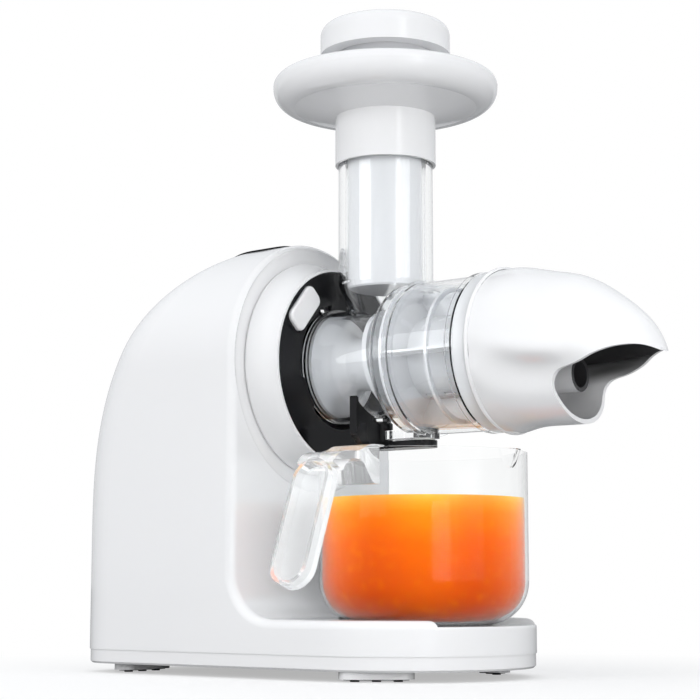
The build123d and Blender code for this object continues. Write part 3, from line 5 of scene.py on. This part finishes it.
import bmesh
import bpy
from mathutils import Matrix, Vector


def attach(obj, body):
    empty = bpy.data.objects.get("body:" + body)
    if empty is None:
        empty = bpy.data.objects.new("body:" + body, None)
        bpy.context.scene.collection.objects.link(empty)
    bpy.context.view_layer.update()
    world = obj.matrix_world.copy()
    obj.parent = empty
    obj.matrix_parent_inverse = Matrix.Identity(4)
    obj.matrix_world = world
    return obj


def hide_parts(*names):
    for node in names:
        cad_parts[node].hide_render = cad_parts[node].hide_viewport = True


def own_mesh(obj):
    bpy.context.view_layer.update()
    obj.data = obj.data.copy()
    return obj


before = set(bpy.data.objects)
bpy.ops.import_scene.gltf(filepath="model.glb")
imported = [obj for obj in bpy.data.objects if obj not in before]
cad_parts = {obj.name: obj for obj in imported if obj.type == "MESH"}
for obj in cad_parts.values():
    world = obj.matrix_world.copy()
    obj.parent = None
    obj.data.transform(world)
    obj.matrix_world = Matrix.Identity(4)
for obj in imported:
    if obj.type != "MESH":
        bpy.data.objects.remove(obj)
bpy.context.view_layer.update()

# ---------------------------------------------------------------------------
# Sizes and places: millimetres where place() or MM turns them into metres
# ---------------------------------------------------------------------------

MM = 0.001
TUBE_X = 2.4
MID_Y = 24.85

# Hood of the nozzle: painted shade darkens its inside between the two heights, in metres
HOOD_Z = 178.0
HOOD_INWARD = -0.15
HOOD_SHADE_LOW = 0.166
HOOD_SHADE_HIGH = 0.180
HOOD_PAINTED_SHADE = (0.02, 0.02, 0.021)

# Pulp tube in the mouth of the nozzle; its end and bore get painted shade
PULP_TUBE_Z = 168.5
PULP_TUBE_R = 10.4
PULP_TUBE_END_FACING = 0.5
PULP_TUBE_PAINTED_SHADE = (0.035, 0.035, 0.037)

# Outside of the jug, and the juice in it
JUG_X = 26.8
JUG_R = 61.2
JUG_WALL = 1.8
JUG_FLOOR = 30.0
JUG_CORNER = 25.0
JUICE_GAP = 0.25
JUICE_SHOULDER = 98.3
JUICE_LEVEL = 101.5
JUICE_MENISCUS = ((0.0, 1.2), (0.7, 0.4), (2.2, 0.0))
CORNER_STEPS = 12
LATHE_STEPS = 128
TINY = 1e-6

SHARP_DEGREES = 32.0


def place(x, y, z):
    """Point given in millimetres from the feed tube's axis and the table."""
    return Vector(((x + TUBE_X) * MM, (y + MID_Y) * MM, z * MM))


# ---------------------------------------------------------------------------
# Node helpers
# ---------------------------------------------------------------------------

# Range that most of a noise's values fall in
NOISE_LOW = 0.3
NOISE_HIGH = 0.7


def new_material(name):
    """Empty node material with a Principled shader joined to its output."""
    material = bpy.data.materials.new(name)
    material.use_nodes = True
    tree = material.node_tree
    tree.nodes.clear()
    output = tree.nodes.new("ShaderNodeOutputMaterial")
    shader = tree.nodes.new("ShaderNodeBsdfPrincipled")
    tree.links.new(shader.outputs["BSDF"], output.inputs["Surface"])
    return material, tree, shader


def find_node(tree, kind):
    """The tree's node of a kind."""
    return next(node for node in tree.nodes if node.bl_idname == kind)


def coordinates(tree, kind="Object"):
    """Place in the object's own space, or direction in the world's."""
    return tree.nodes.new("ShaderNodeTexCoord").outputs[kind]


def mapping(tree, vector, slot, amount):
    """Vector moved or scaled by a constant."""
    node = tree.nodes.new("ShaderNodeMapping")
    node.inputs[slot].default_value = amount
    tree.links.new(vector, node.inputs["Vector"])
    return node.outputs["Vector"]


def split_vector(tree, vector):
    """The three numbers of a vector, by name."""
    node = tree.nodes.new("ShaderNodeSeparateXYZ")
    tree.links.new(vector, node.inputs["Vector"])
    return node.outputs


def vector_length(tree, vector):
    """Length of a vector."""
    node = tree.nodes.new("ShaderNodeVectorMath")
    node.operation = "LENGTH"
    tree.links.new(vector, node.inputs[0])
    return node.outputs["Value"]


def calculate(tree, operation, *values):
    """Number worked out from constants and other nodes' numbers."""
    node = tree.nodes.new("ShaderNodeMath")
    node.operation = operation
    for socket, value in zip(node.inputs, values):
        if isinstance(value, bpy.types.NodeSocket):
            tree.links.new(value, socket)
        else:
            socket.default_value = value
    return node.outputs[0]


def add_noise(tree, scale, detail=3.0, where=None):
    """Noise in object space, so that the grain keeps its real size."""
    noise = tree.nodes.new("ShaderNodeTexNoise")
    noise.inputs["Scale"].default_value = scale
    noise.inputs["Detail"].default_value = detail
    tree.links.new(where or coordinates(tree), noise.inputs["Vector"])
    return noise.outputs["Fac"]


def map_range(tree, source, low, high, start=NOISE_LOW, end=NOISE_HIGH):
    """Number between low and high, as the source goes from start to end."""
    node = tree.nodes.new("ShaderNodeMapRange")
    node.inputs["From Min"].default_value = start
    node.inputs["From Max"].default_value = end
    node.inputs["To Min"].default_value = low
    node.inputs["To Max"].default_value = high
    tree.links.new(source, node.inputs["Value"])
    return node.outputs["Result"]


def mix_colours(tree, factor, first, second, blend="MIX"):
    """Colour between two, each a constant or another node's."""
    node = tree.nodes.new("ShaderNodeMix")
    node.data_type = "RGBA"
    node.blend_type = blend
    for slot, colour in (("A", first), ("B", second)):
        if isinstance(colour, tuple):
            node.inputs[slot].default_value = (*colour, 1.0)
        else:
            tree.links.new(colour, node.inputs[slot])
    tree.links.new(factor, node.inputs["Factor"])
    return node.outputs["Result"]


def mix_shaders(tree, factor, first, second):
    """Shader between two, by a factor from another node."""
    node = tree.nodes.new("ShaderNodeMixShader")
    tree.links.new(factor, node.inputs["Fac"])
    tree.links.new(first, node.inputs[1])
    tree.links.new(second, node.inputs[2])
    return node.outputs["Shader"]


def plain_shader(tree, kind, colour):
    """Shader of one kind and one colour."""
    node = tree.nodes.new(kind)
    node.inputs["Color"].default_value = (*colour, 1)
    return node


def add_bump(tree, shader, height, strength, distance):
    """Fine relief on the surface."""
    bump = tree.nodes.new("ShaderNodeBump")
    bump.inputs["Strength"].default_value = strength
    bump.inputs["Distance"].default_value = distance
    tree.links.new(height, bump.inputs["Height"])
    tree.links.new(bump.outputs["Normal"], shader.inputs["Normal"])


# ---------------------------------------------------------------------------
# Materials
# ---------------------------------------------------------------------------

GRAIN_DEPTH = 0.0002
RIPPLE_DEPTH = 0.001

CLOUD_SCALE = 14.0
CLOUD_SHADE = 0.98
SMEAR_SCALE = 55.0
SMEAR_DETAIL = 4.0
GLOSS_SPREAD = 0.04
GLOSS_LEAST = 0.02
FINE_DETAIL = 2.0
COAT_ROUGHNESS = 0.06
PLASTIC_SCATTER = (0.004, 0.004, 0.0045)

METAL_SHADE = 0.8
METAL_SPREAD = 0.08
METAL_DETAIL = 4.0

CLEAR_CLOUD_SCALE = 20.0
CLEAR_SHADE = 0.985
CLEAR_SMEAR_SCALE = 60.0
CLEAR_SPREAD = 0.02
EDGE_BLEND = 0.25
EDGE_START = 0.35
EDGE_END = 0.95
THIN_WALL = (0.93, 0.94, 0.95)


def moulded(name, colour, roughness, coat=0.0, grain=900.0, relief=0.02, subsurface=0.0, level=0.5):
    """Moulded plastic or rubber: slight cloudiness, uneven gloss and grain."""
    material, tree, shader = new_material(name)
    darker = tuple(c * CLOUD_SHADE for c in colour)
    cloudy = mix_colours(tree, add_noise(tree, CLOUD_SCALE), darker, colour)
    tree.links.new(cloudy, shader.inputs["Base Color"])
    smear = add_noise(tree, SMEAR_SCALE, SMEAR_DETAIL)
    smoothest = max(GLOSS_LEAST, roughness - GLOSS_SPREAD)
    gloss = map_range(tree, smear, smoothest, roughness + GLOSS_SPREAD)
    tree.links.new(gloss, shader.inputs["Roughness"])
    add_bump(tree, shader, add_noise(tree, grain, FINE_DETAIL), relief, GRAIN_DEPTH)
    shader.inputs["Specular IOR Level"].default_value = level
    shader.inputs["Coat Weight"].default_value = coat
    shader.inputs["Coat Roughness"].default_value = COAT_ROUGHNESS
    if subsurface:
        shader.inputs["Subsurface Weight"].default_value = subsurface
        shader.inputs["Subsurface Radius"].default_value = PLASTIC_SCATTER
        shader.inputs["Subsurface Scale"].default_value = 1.0
    return material


def metal(name, colour, roughness, grain=220.0, relief=0.05, streaks=(1.0, 1.0, 1.0)):
    """Bare metal with tool marks along one direction."""
    material, tree, shader = new_material(name)
    where = mapping(tree, coordinates(tree), "Scale", streaks)
    marks = add_noise(tree, grain, METAL_DETAIL, where)
    darker = tuple(c * METAL_SHADE for c in colour)
    tree.links.new(mix_colours(tree, marks, darker, colour), shader.inputs["Base Color"])
    gloss = map_range(tree, marks, roughness - METAL_SPREAD, roughness + METAL_SPREAD)
    tree.links.new(gloss, shader.inputs["Roughness"])
    shader.inputs["Metallic"].default_value = 1.0
    add_bump(tree, shader, marks, relief, GRAIN_DEPTH)
    return material


def let_light_through(tree, shader):
    """Thin clear walls throw next to no shadow on what they hold."""
    path = tree.nodes.new("ShaderNodeLightPath")
    open_air = plain_shader(tree, "ShaderNodeBsdfTransparent", THIN_WALL)
    either = mix_shaders(
        tree, path.outputs["Is Shadow Ray"], shader.outputs["BSDF"], open_air.outputs["BSDF"]
    )
    tree.links.new(either, find_node(tree, "ShaderNodeOutputMaterial").inputs["Surface"])


def clear(
    name, colour, roughness, ior=1.49, relief=0.01, grain=40.0, through=1.0, edge_shade=1.0, mirror=1.0
):
    """Clear or frosted moulded plastic, faintly uneven, with painted shade where it is seen edge
    on.
    """
    material, tree, shader = new_material(name)
    darker = tuple(c * CLEAR_SHADE for c in colour)
    cloudy = mix_colours(tree, add_noise(tree, CLEAR_CLOUD_SCALE), darker, colour)
    # Painted shade: the colour greys where the surface is seen edge on
    slant = tree.nodes.new("ShaderNodeLayerWeight")
    slant.inputs["Blend"].default_value = EDGE_BLEND
    edge = map_range(tree, slant.outputs["Facing"], 0.0, 1.0, EDGE_START, EDGE_END)
    edge_shade_colour = tuple(c * edge_shade for c in colour)
    tree.links.new(mix_colours(tree, edge, cloudy, edge_shade_colour), shader.inputs["Base Color"])
    smear = add_noise(tree, CLEAR_SMEAR_SCALE, SMEAR_DETAIL)
    smoothest = max(0.0, roughness - CLEAR_SPREAD)
    gloss = map_range(tree, smear, smoothest, roughness + CLEAR_SPREAD)
    tree.links.new(gloss, shader.inputs["Roughness"])
    add_bump(tree, shader, add_noise(tree, grain, FINE_DETAIL), relief, RIPPLE_DEPTH)
    shader.inputs["Transmission Weight"].default_value = through
    shader.inputs["IOR"].default_value = ior
    shader.inputs["Specular Tint"].default_value = (mirror, mirror, mirror, 1)
    let_light_through(tree, shader)
    return material


PALE = (0.9, 0.9, 0.905)
JUG_TINT = (0.985, 0.99, 0.99)

WHITE = moulded("white_gloss", PALE, 0.16, coat=0.6, subsurface=0.05)
TRAY_WHITE = moulded("tray_gloss", PALE, 0.14, coat=0.6, subsurface=0.05)
NOZZLE_WHITE = moulded("nozzle_gloss", PALE, 0.15, coat=0.5, subsurface=0.05)
BLACK_GLOSS = moulded("black_gloss", (0.006, 0.006, 0.007), 0.14, level=0.22)
BLACK_SATIN = moulded("black_satin", (0.009, 0.009, 0.010), 0.28, relief=0.05, level=0.3)
GREY_MATT = moulded("grey_matt", (0.16, 0.165, 0.175), 0.5, relief=0.08)
SOCKET_GREY = moulded("socket_grey", (0.07, 0.07, 0.075), 0.35, relief=0.05)
CLEAR = clear("clear_plastic", (0.97, 0.98, 0.985), 0.0, edge_shade=0.7)
JUG_CLEAR = clear("jug_clear", JUG_TINT, 0.0, ior=1.4, edge_shade=0.5, mirror=0.15)
HANDLE_CLEAR = clear("handle_clear", JUG_TINT, 0.0, ior=1.2, through=0.8, edge_shade=0.9)
FROSTED = clear("frosted_plastic", (0.95, 0.96, 0.97), 0.25, grain=120.0, through=0.45)
AUGER_GREY = moulded("auger_grey", (0.7, 0.71, 0.73), 0.3, coat=0.2, subsurface=0.1)
STRAINER_GREY = moulded("strainer_grey", (0.62, 0.63, 0.65), 0.25, coat=0.3, subsurface=0.1)
# white pusher coloured darker than the knob: painted shade of the feed tube round it
PUSHER_SHADED_WHITE = moulded("pusher_white_painted_shade", (0.6, 0.605, 0.62), 0.15, coat=0.5, subsurface=0.1)
PLATE_GREY = moulded("plate_grey", (0.8, 0.8, 0.81), 0.3, relief=0.05, level=0.4)
MESH_STEEL = metal("mesh_steel", (0.8, 0.8, 0.81), 0.4, 2600.0, 0.4)
SCREW_STEEL = metal("screw_steel", (0.58, 0.58, 0.6), 0.32)
SPRING_STEEL = metal("spring_steel", (0.6, 0.6, 0.62), 0.28)
GEAR_STEEL = metal("gear_steel", (0.52, 0.53, 0.55), 0.34)
GEAR_PLASTIC = moulded("gear_plastic", (0.72, 0.68, 0.58), 0.4)
BRONZE = metal("bronze", (0.62, 0.42, 0.22), 0.42)
MOTOR_SHELL = metal("motor_shell", (0.42, 0.43, 0.45), 0.4)
LAMINATIONS = metal("laminations", (0.3, 0.3, 0.31), 0.5, 700.0, 0.3, (30.0, 1.0, 1.0))
COPPER = metal("copper", (0.72, 0.4, 0.25), 0.3)
BOARD = moulded("board_green", (0.03, 0.16, 0.07), 0.35, relief=0.05)
FOOT_RUBBER = moulded("foot_rubber", (0.02, 0.02, 0.02), 0.7, relief=0.3, grain=1500.0)
SEAL_RUBBER = moulded("seal_rubber", (0.6, 0.6, 0.58), 0.5, relief=0.1)

FINISHES = {
    "housing_shell": WHITE,
    "base_plate": WHITE,
    "base_screws": SCREW_STEEL,
    "rubber_feet": FOOT_RUBBER,
    "control_panel": BLACK_GLOSS,
    "power_rocker": BLACK_SATIN,
    "switch_body": BLACK_SATIN,
    "cord_gland": FOOT_RUBBER,
    "circuit_board": BOARD,
    "face_plate": BLACK_GLOSS,
    "bayonet_socket": SOCKET_GREY,
    "socket_screws": SCREW_STEEL,
    "release_button": WHITE,
    "button_spring": SPRING_STEEL,
    "motor_pinion": GEAR_STEEL,
    "first_gear": GEAR_PLASTIC,
    "second_gear": GEAR_PLASTIC,
    "output_gear": GEAR_STEEL,
    "gear_axles": GEAR_STEEL,
    "gearbox_case": GREY_MATT,
    "gearbox_cover": GREY_MATT,
    "gearbox_screws": SCREW_STEEL,
    "drive_bearings": BRONZE,
    "drive_shaft": GEAR_STEEL,
    "shaft_seal": FOOT_RUBBER,
    "motor_front_bell": MOTOR_SHELL,
    "motor_rear_bell": MOTOR_SHELL,
    "motor_bearings": BRONZE,
    "stator": LAMINATIONS,
    "rotor": LAMINATIONS,
    "commutator": COPPER,
    "rotor_shaft": GEAR_STEEL,
    "cooling_fan": BLACK_SATIN,
    "juicing_drum": CLEAR,
    "auger_seal": SEAL_RUBBER,
    "auger": AUGER_GREY,
    "strainer_cage": STRAINER_GREY,
    "strainer_mesh": MESH_STEEL,
    "locking_ring": FROSTED,
    "pulp_plate": PLATE_GREY,
    "auger_bush": BRONZE,
    "nozzle_cap": NOZZLE_WHITE,
    "outlet_valve": BLACK_SATIN,
    "valve_plug": SEAL_RUBBER,
    "feeding_tray": TRAY_WHITE,
    "pusher": PUSHER_SHADED_WHITE,
    "pusher_knob": WHITE,
    "jug": JUG_CLEAR,
    "jug_handle": HANDLE_CLEAR,
}


def dress(thing, material):
    """Give an object one material."""
    thing.data.materials.clear()
    thing.data.materials.append(material)


def smooth(thing):
    """Smooth shading that keeps the sharper edges."""
    mesh = thing.data
    for polygon in mesh.polygons:
        polygon.use_smooth = True
    if not mesh.has_custom_normals:
        mesh.set_sharp_from_angle(angle=math.radians(SHARP_DEGREES))


for node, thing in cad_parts.items():
    dress(thing, FINISHES[node])
    smooth(thing)


def paint_shade_on_faces(thing, material, chosen, shade_colour, low=None, high=None):
    """Paint shade on the chosen faces: colour them darker, fading in between two heights if these
    are given.
    """
    mesh = thing.data
    mask = mesh.attributes.new("painted_shade", "FLOAT", "FACE")
    for polygon in mesh.polygons:
        mask.data[polygon.index].value = 1.0 if chosen(polygon) else 0.0
    tree = material.node_tree
    base = find_node(tree, "ShaderNodeBsdfPrincipled").inputs["Base Color"]
    outside = base.links[0].from_socket
    mark = tree.nodes.new("ShaderNodeAttribute")
    mark.attribute_name = "painted_shade"
    amount = mark.outputs["Fac"]
    if low is not None:
        height = split_vector(tree, coordinates(tree))["Z"]
        risen = map_range(tree, height, 0.0, 1.0, low, high)
        amount = calculate(tree, "MULTIPLY", risen, amount)
    # mix the painted shade into the base colour
    tree.links.new(mix_colours(tree, amount, outside, shade_colour), base)


def from_axis(point, z):
    """Way across the drum to a point, from the middle plane at a height."""
    out = point - place(0, 0, z)
    out.x = 0
    return out


def inside_hood(polygon):
    """Whether a face of the nozzle looks towards its middle."""
    out = from_axis(polygon.center, HOOD_Z)
    return polygon.normal.dot(out.normalized()) < HOOD_INWARD


def on_pulp_tube(polygon):
    """Whether a face of the end plate is the end or the bore of its pulp tube."""
    out = from_axis(polygon.center, PULP_TUBE_Z)
    if out.length >= PULP_TUBE_R * MM:
        return False
    return polygon.normal.x > PULP_TUBE_END_FACING or polygon.normal.dot(out) < 0


# Painted shade inside the nozzle's hood, darker higher up
paint_shade_on_faces(
    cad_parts["nozzle_cap"],
    NOZZLE_WHITE,
    inside_hood,
    HOOD_PAINTED_SHADE,
    HOOD_SHADE_LOW,
    HOOD_SHADE_HIGH,
)
# Painted shade on the end and bore of the pulp tube
paint_shade_on_faces(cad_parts["pulp_plate"], PLATE_GREY, on_pulp_tube, PULP_TUBE_PAINTED_SHADE)

# ---------------------------------------------------------------------------
# Pieces that the CAD model leaves to the looks
# ---------------------------------------------------------------------------

# Colours of the juice from its floor to its top, darker and redder at the bottom; the yellowest
# stops at the top are a painted highlight
JUICE_LOW = 0.034
JUICE_HIGH = 0.102
JUICE_RAMP_AND_HIGHLIGHT = (
    (0.0, (0.46, 0.06, 0.0)),
    (0.3, (0.60, 0.085, 0.0)),
    (0.62, (0.76, 0.125, 0.0)),
    (0.86, (0.84, 0.22, 0.003)),
    (0.95, (0.88, 0.33, 0.02)),
    (1.0, (0.90, 0.42, 0.06)),
)

# Painted shade in soft upright bands near the jug's wall; a lit one lies at the angle, in degrees
BAND_COUNT = 6
BAND_LIT_ANGLE = -52.7
BAND_START = 0.035
BAND_FULL = 0.057
BAND_PAINTED_SHADE = (0.86, 0.68, 0.7)

PULP_SCALE = 160.0
PULP_DETAIL = 5.0
PULP_TINT = (0.95, 0.30, 0.01)
PULP_MOST = 0.25
PULP_NOISE_LOW = 0.55
PULP_NOISE_HIGH = 0.8

JUICE_ROUGHNESS = 0.5
JUICE_SPECULAR = 0.02
JUICE_SUBSURFACE = 0.35
JUICE_SCATTER = (0.01, 0.002, 0.0002)
JUICE_BOUNCE = (0.6, 0.6, 0.6)


def make_object(name, mesh, material, body):
    """Link a mesh as a piece that rides on a body."""
    thing = bpy.data.objects.new(name, mesh)
    bpy.context.scene.collection.objects.link(thing)
    dress(thing, material)
    smooth(thing)
    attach(thing, body)
    return thing


def lathe(name, profile, centre, material, body):
    """Surface turned about a vertical axis; the profile is (radius, z) in mm."""
    work = bmesh.new()
    rings = []
    for radius, z in profile:
        if radius < TINY:
            rings.append([work.verts.new(place(centre[0], centre[1], z))])
            continue
        turn = []
        for step in range(LATHE_STEPS):
            angle = 2 * math.pi * step / LATHE_STEPS
            x = centre[0] + radius * math.cos(angle)
            y = centre[1] + radius * math.sin(angle)
            turn.append(work.verts.new(place(x, y, z)))
        rings.append(turn)
    for lower, upper in zip(rings, rings[1:]):
        for step in range(LATHE_STEPS):
            after = (step + 1) % LATHE_STEPS
            if len(lower) == 1:
                work.faces.new((lower[0], upper[after], upper[step]))
            elif len(upper) == 1:
                work.faces.new((lower[step], lower[after], upper[0]))
            else:
                work.faces.new((lower[step], lower[after], upper[after], upper[step]))
    bmesh.ops.recalc_face_normals(work, faces=work.faces)
    mesh = bpy.data.meshes.new(name)
    work.to_mesh(mesh)
    work.free()
    return make_object(name, mesh, material, body)


def painted_shade_bands(tree, centre):
    """Painted shade in soft bands round a vertical axis, from 0 to 1, that fade in towards the
    wall.
    """
    centred = mapping(tree, coordinates(tree), "Location", (-centre.x, -centre.y, 0))
    axes = split_vector(tree, centred)
    turn = calculate(tree, "ARCTAN2", axes["Y"], axes["X"])
    offset = -BAND_COUNT * math.radians(BAND_LIT_ANGLE)
    wave = calculate(tree, "COSINE", calculate(tree, "MULTIPLY_ADD", turn, BAND_COUNT, offset))
    flat = tree.nodes.new("ShaderNodeVectorMath")
    flat.operation = "MULTIPLY"
    flat.inputs[1].default_value = (1, 1, 0)
    tree.links.new(centred, flat.inputs[0])
    radius = vector_length(tree, flat.outputs["Vector"])
    darkness = map_range(tree, wave, 1.0, 0.0, -1.0, 1.0)
    presence = map_range(tree, radius, 0.0, 1.0, BAND_START, BAND_FULL)
    return calculate(tree, "MULTIPLY", darkness, presence)


def juice_colour_and_highlight(tree):
    """Colour of the juice by its height, with a painted highlight at the top."""
    ramp = tree.nodes.new("ShaderNodeValToRGB")
    stops = ramp.color_ramp.elements
    first, *between, last = JUICE_RAMP_AND_HIGHLIGHT
    for stop, (position, colour) in zip(stops, (first, last)):
        stop.position = position
        stop.color = (*colour, 1)
    for position, colour in between:
        stops.new(position).color = (*colour, 1)
    height = split_vector(tree, coordinates(tree))["Z"]
    tree.links.new(map_range(tree, height, 0.0, 1.0, JUICE_LOW, JUICE_HIGH), ramp.inputs["Fac"])
    return ramp.outputs["Color"]


def juice_material():
    """Orange juice: cloudy, redder at the bottom, yellower at the top where a highlight is painted,
    with painted upright bands of shade.
    """
    material, tree, shader = new_material("juice")
    # painted shade in upright bands over the juice colour
    bands = painted_shade_bands(tree, place(JUG_X, 0, 0))
    band_shaded = mix_colours(tree, bands, juice_colour_and_highlight(tree), BAND_PAINTED_SHADE, "MULTIPLY")
    noise = add_noise(tree, PULP_SCALE, PULP_DETAIL)
    pulp = map_range(tree, noise, 0.0, PULP_MOST, PULP_NOISE_LOW, PULP_NOISE_HIGH)
    tree.links.new(mix_colours(tree, pulp, band_shaded, PULP_TINT), shader.inputs["Base Color"])
    shader.inputs["Roughness"].default_value = JUICE_ROUGHNESS
    shader.inputs["Specular IOR Level"].default_value = JUICE_SPECULAR
    shader.inputs["Subsurface Weight"].default_value = JUICE_SUBSURFACE
    shader.inputs["Subsurface Radius"].default_value = JUICE_SCATTER
    shader.inputs["Subsurface Scale"].default_value = 1.0
    # throws grey rather than orange light on its neighbours
    path = tree.nodes.new("ShaderNodeLightPath")
    dull = plain_shader(tree, "ShaderNodeBsdfDiffuse", JUICE_BOUNCE)
    either = mix_shaders(
        tree, path.outputs["Diffuse Depth"], shader.outputs["BSDF"], dull.outputs["BSDF"]
    )
    tree.links.new(either, find_node(tree, "ShaderNodeOutputMaterial").inputs["Surface"])
    return material


inset = JUG_WALL + JUICE_GAP
juice_r = JUG_R - inset
juice_floor = JUG_FLOOR + inset
corner = JUG_CORNER - inset
profile = [(0.0, juice_floor)]
for step in range(CORNER_STEPS + 1):
    angle = math.pi / 2 * step / CORNER_STEPS
    across = juice_r - corner + corner * math.sin(angle)
    profile.append((across, juice_floor + corner * (1 - math.cos(angle))))
profile.append((juice_r, JUICE_SHOULDER))
for inward, rise in JUICE_MENISCUS:
    profile.append((juice_r - inward, JUICE_LEVEL + rise))
profile.append((0.0, JUICE_LEVEL))
lathe("orange_juice", profile, (JUG_X, 0.0), juice_material(), "jug_group")

coil_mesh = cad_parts["button_spring"].data.copy()
coil = make_object("lock_button_coil", coil_mesh, SPRING_STEEL, "base")
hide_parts("button_spring")
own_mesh(coil)

# ---------------------------------------------------------------------------
# Floor, light and camera, in metres
# ---------------------------------------------------------------------------

FLOOR_HALF = 40
FLOOR_GREY = (0.36, 0.36, 0.362)
FLOOR_WHITE_FROM = 0.45
FLOOR_WHITE_TO = 1.0
FLOOR_GLOW_NEAR = 0.15
FLOOR_GLOW_FAR = 0.42
PURE_WHITE = (1, 1, 1)

SKY_TINT = (0.95, 0.97, 1.0)
SKY_LOW = 0.28
SKY_HIGH = 0.86
SKY_FROM = -0.5
SKY_TO = 0.6

BODY_MIDDLE = (0, 0, 0.2)
NOZZLE_UNDERSIDE = (0.16, 0, 0.17)

CAMERA_LENS = 90.0
CAMERA_SENSOR = 36.0
CAMERA_PLACE = (622.17, -841.13, 52.12)
CAMERA_HEADING = 37.68
CAMERA_PITCH = 7.69


def seen_through_lens(tree):
    """1 for rays from the lens, straight or through clear plastic."""
    path = tree.nodes.new("ShaderNodeLightPath")
    straight = path.outputs["Is Camera Ray"]
    return calculate(tree, "MAXIMUM", straight, path.outputs["Is Transmission Ray"])


def stage_material():
    """Pale floor that keeps the object's shadow and runs out into white."""
    material = bpy.data.materials.new("studio_floor")
    material.use_nodes = True
    tree = material.node_tree
    tree.nodes.clear()
    output = tree.nodes.new("ShaderNodeOutputMaterial")
    plain = plain_shader(tree, "ShaderNodeBsdfDiffuse", FLOOR_GREY)
    lit = plain_shader(tree, "ShaderNodeBsdfDiffuse", PURE_WHITE)
    glow = plain_shader(tree, "ShaderNodeEmission", PURE_WHITE)
    glow.inputs["Strength"].default_value = 1.0
    away = vector_length(tree, coordinates(tree))
    amount = map_range(
        tree, away, FLOOR_WHITE_FROM, FLOOR_WHITE_TO, FLOOR_GLOW_NEAR, FLOOR_GLOW_FAR
    )
    shadowed = mix_shaders(tree, amount, lit.outputs["BSDF"], glow.outputs["Emission"])
    seen = mix_shaders(tree, seen_through_lens(tree), plain.outputs["BSDF"], shadowed)
    tree.links.new(seen, output.inputs["Surface"])
    return material


def studio_world():
    """Soft sky, brighter above, that the lens sees as white."""
    world = bpy.data.worlds.new("studio")
    world.use_nodes = True
    tree = world.node_tree
    tree.nodes.clear()
    output = tree.nodes.new("ShaderNodeOutputWorld")
    height = split_vector(tree, coordinates(tree, "Generated"))["Z"]
    soft = plain_shader(tree, "ShaderNodeBackground", SKY_TINT)
    strength = map_range(tree, height, SKY_LOW, SKY_HIGH, SKY_FROM, SKY_TO)
    tree.links.new(strength, soft.inputs["Strength"])
    white = plain_shader(tree, "ShaderNodeBackground", PURE_WHITE)
    white.inputs["Strength"].default_value = 1.0
    seen = mix_shaders(
        tree, seen_through_lens(tree), soft.outputs["Background"], white.outputs["Background"]
    )
    tree.links.new(seen, output.inputs["Surface"])
    return world


def area_light(name, location, target, size, power, mirrored=False):
    """Soft box that faces a target: it lights matt surfaces, or only shows in glossy ones."""
    data = bpy.data.lights.new(name, "AREA")
    data.shape = "RECTANGLE"
    data.size, data.size_y = size
    data.energy = power
    lamp = bpy.data.objects.new(name, data)
    lamp.visible_glossy = mirrored
    lamp.visible_diffuse = not mirrored
    lamp.location = location
    towards = Vector(target) - Vector(location)
    lamp.rotation_euler = towards.to_track_quat("-Z", "Y").to_euler()
    bpy.context.scene.collection.objects.link(lamp)


floor_mesh = bpy.data.meshes.new("floor")
floor_corners = [(-1, -1), (1, -1), (1, 1), (-1, 1)]
floor_mesh.from_pydata(
    [(x * FLOOR_HALF, y * FLOOR_HALF, 0) for x, y in floor_corners], [], [(0, 1, 2, 3)]
)
floor = bpy.data.objects.new("floor", floor_mesh)
bpy.context.scene.collection.objects.link(floor)
dress(floor, stage_material())

bpy.context.scene.world = studio_world()

area_light("key", (-0.65, -1.65, 0.65), BODY_MIDDLE, (1.1, 1.0), 12)
area_light("side", (1.9, -0.1, 0.4), BODY_MIDDLE, (1.2, 0.9), 8.5)
area_light("low", (0.75, -0.5, 0.08), NOZZLE_UNDERSIDE, (0.3, 0.12), 1.9)
area_light("glint", (1.5, -0.6, 0.8), BODY_MIDDLE, (0.35, 1.6), 2.5, mirrored=True)

camera_data = bpy.data.cameras.new("camera")
camera_data.lens = CAMERA_LENS
camera_data.sensor_width = CAMERA_SENSOR
camera = bpy.data.objects.new("camera", camera_data)
bpy.context.scene.collection.objects.link(camera)
camera.location = place(*CAMERA_PLACE)
heading = math.radians(CAMERA_HEADING)
pitch = math.radians(CAMERA_PITCH)
level = math.cos(pitch)
look = Vector((-math.sin(heading) * level, math.cos(heading) * level, math.sin(pitch)))
camera.rotation_euler = look.to_track_quat("-Z", "Y").to_euler()
bpy.context.scene.camera = camera

bpy.context.scene.view_settings.view_transform = "Standard"

bpy.context.view_layer.update()
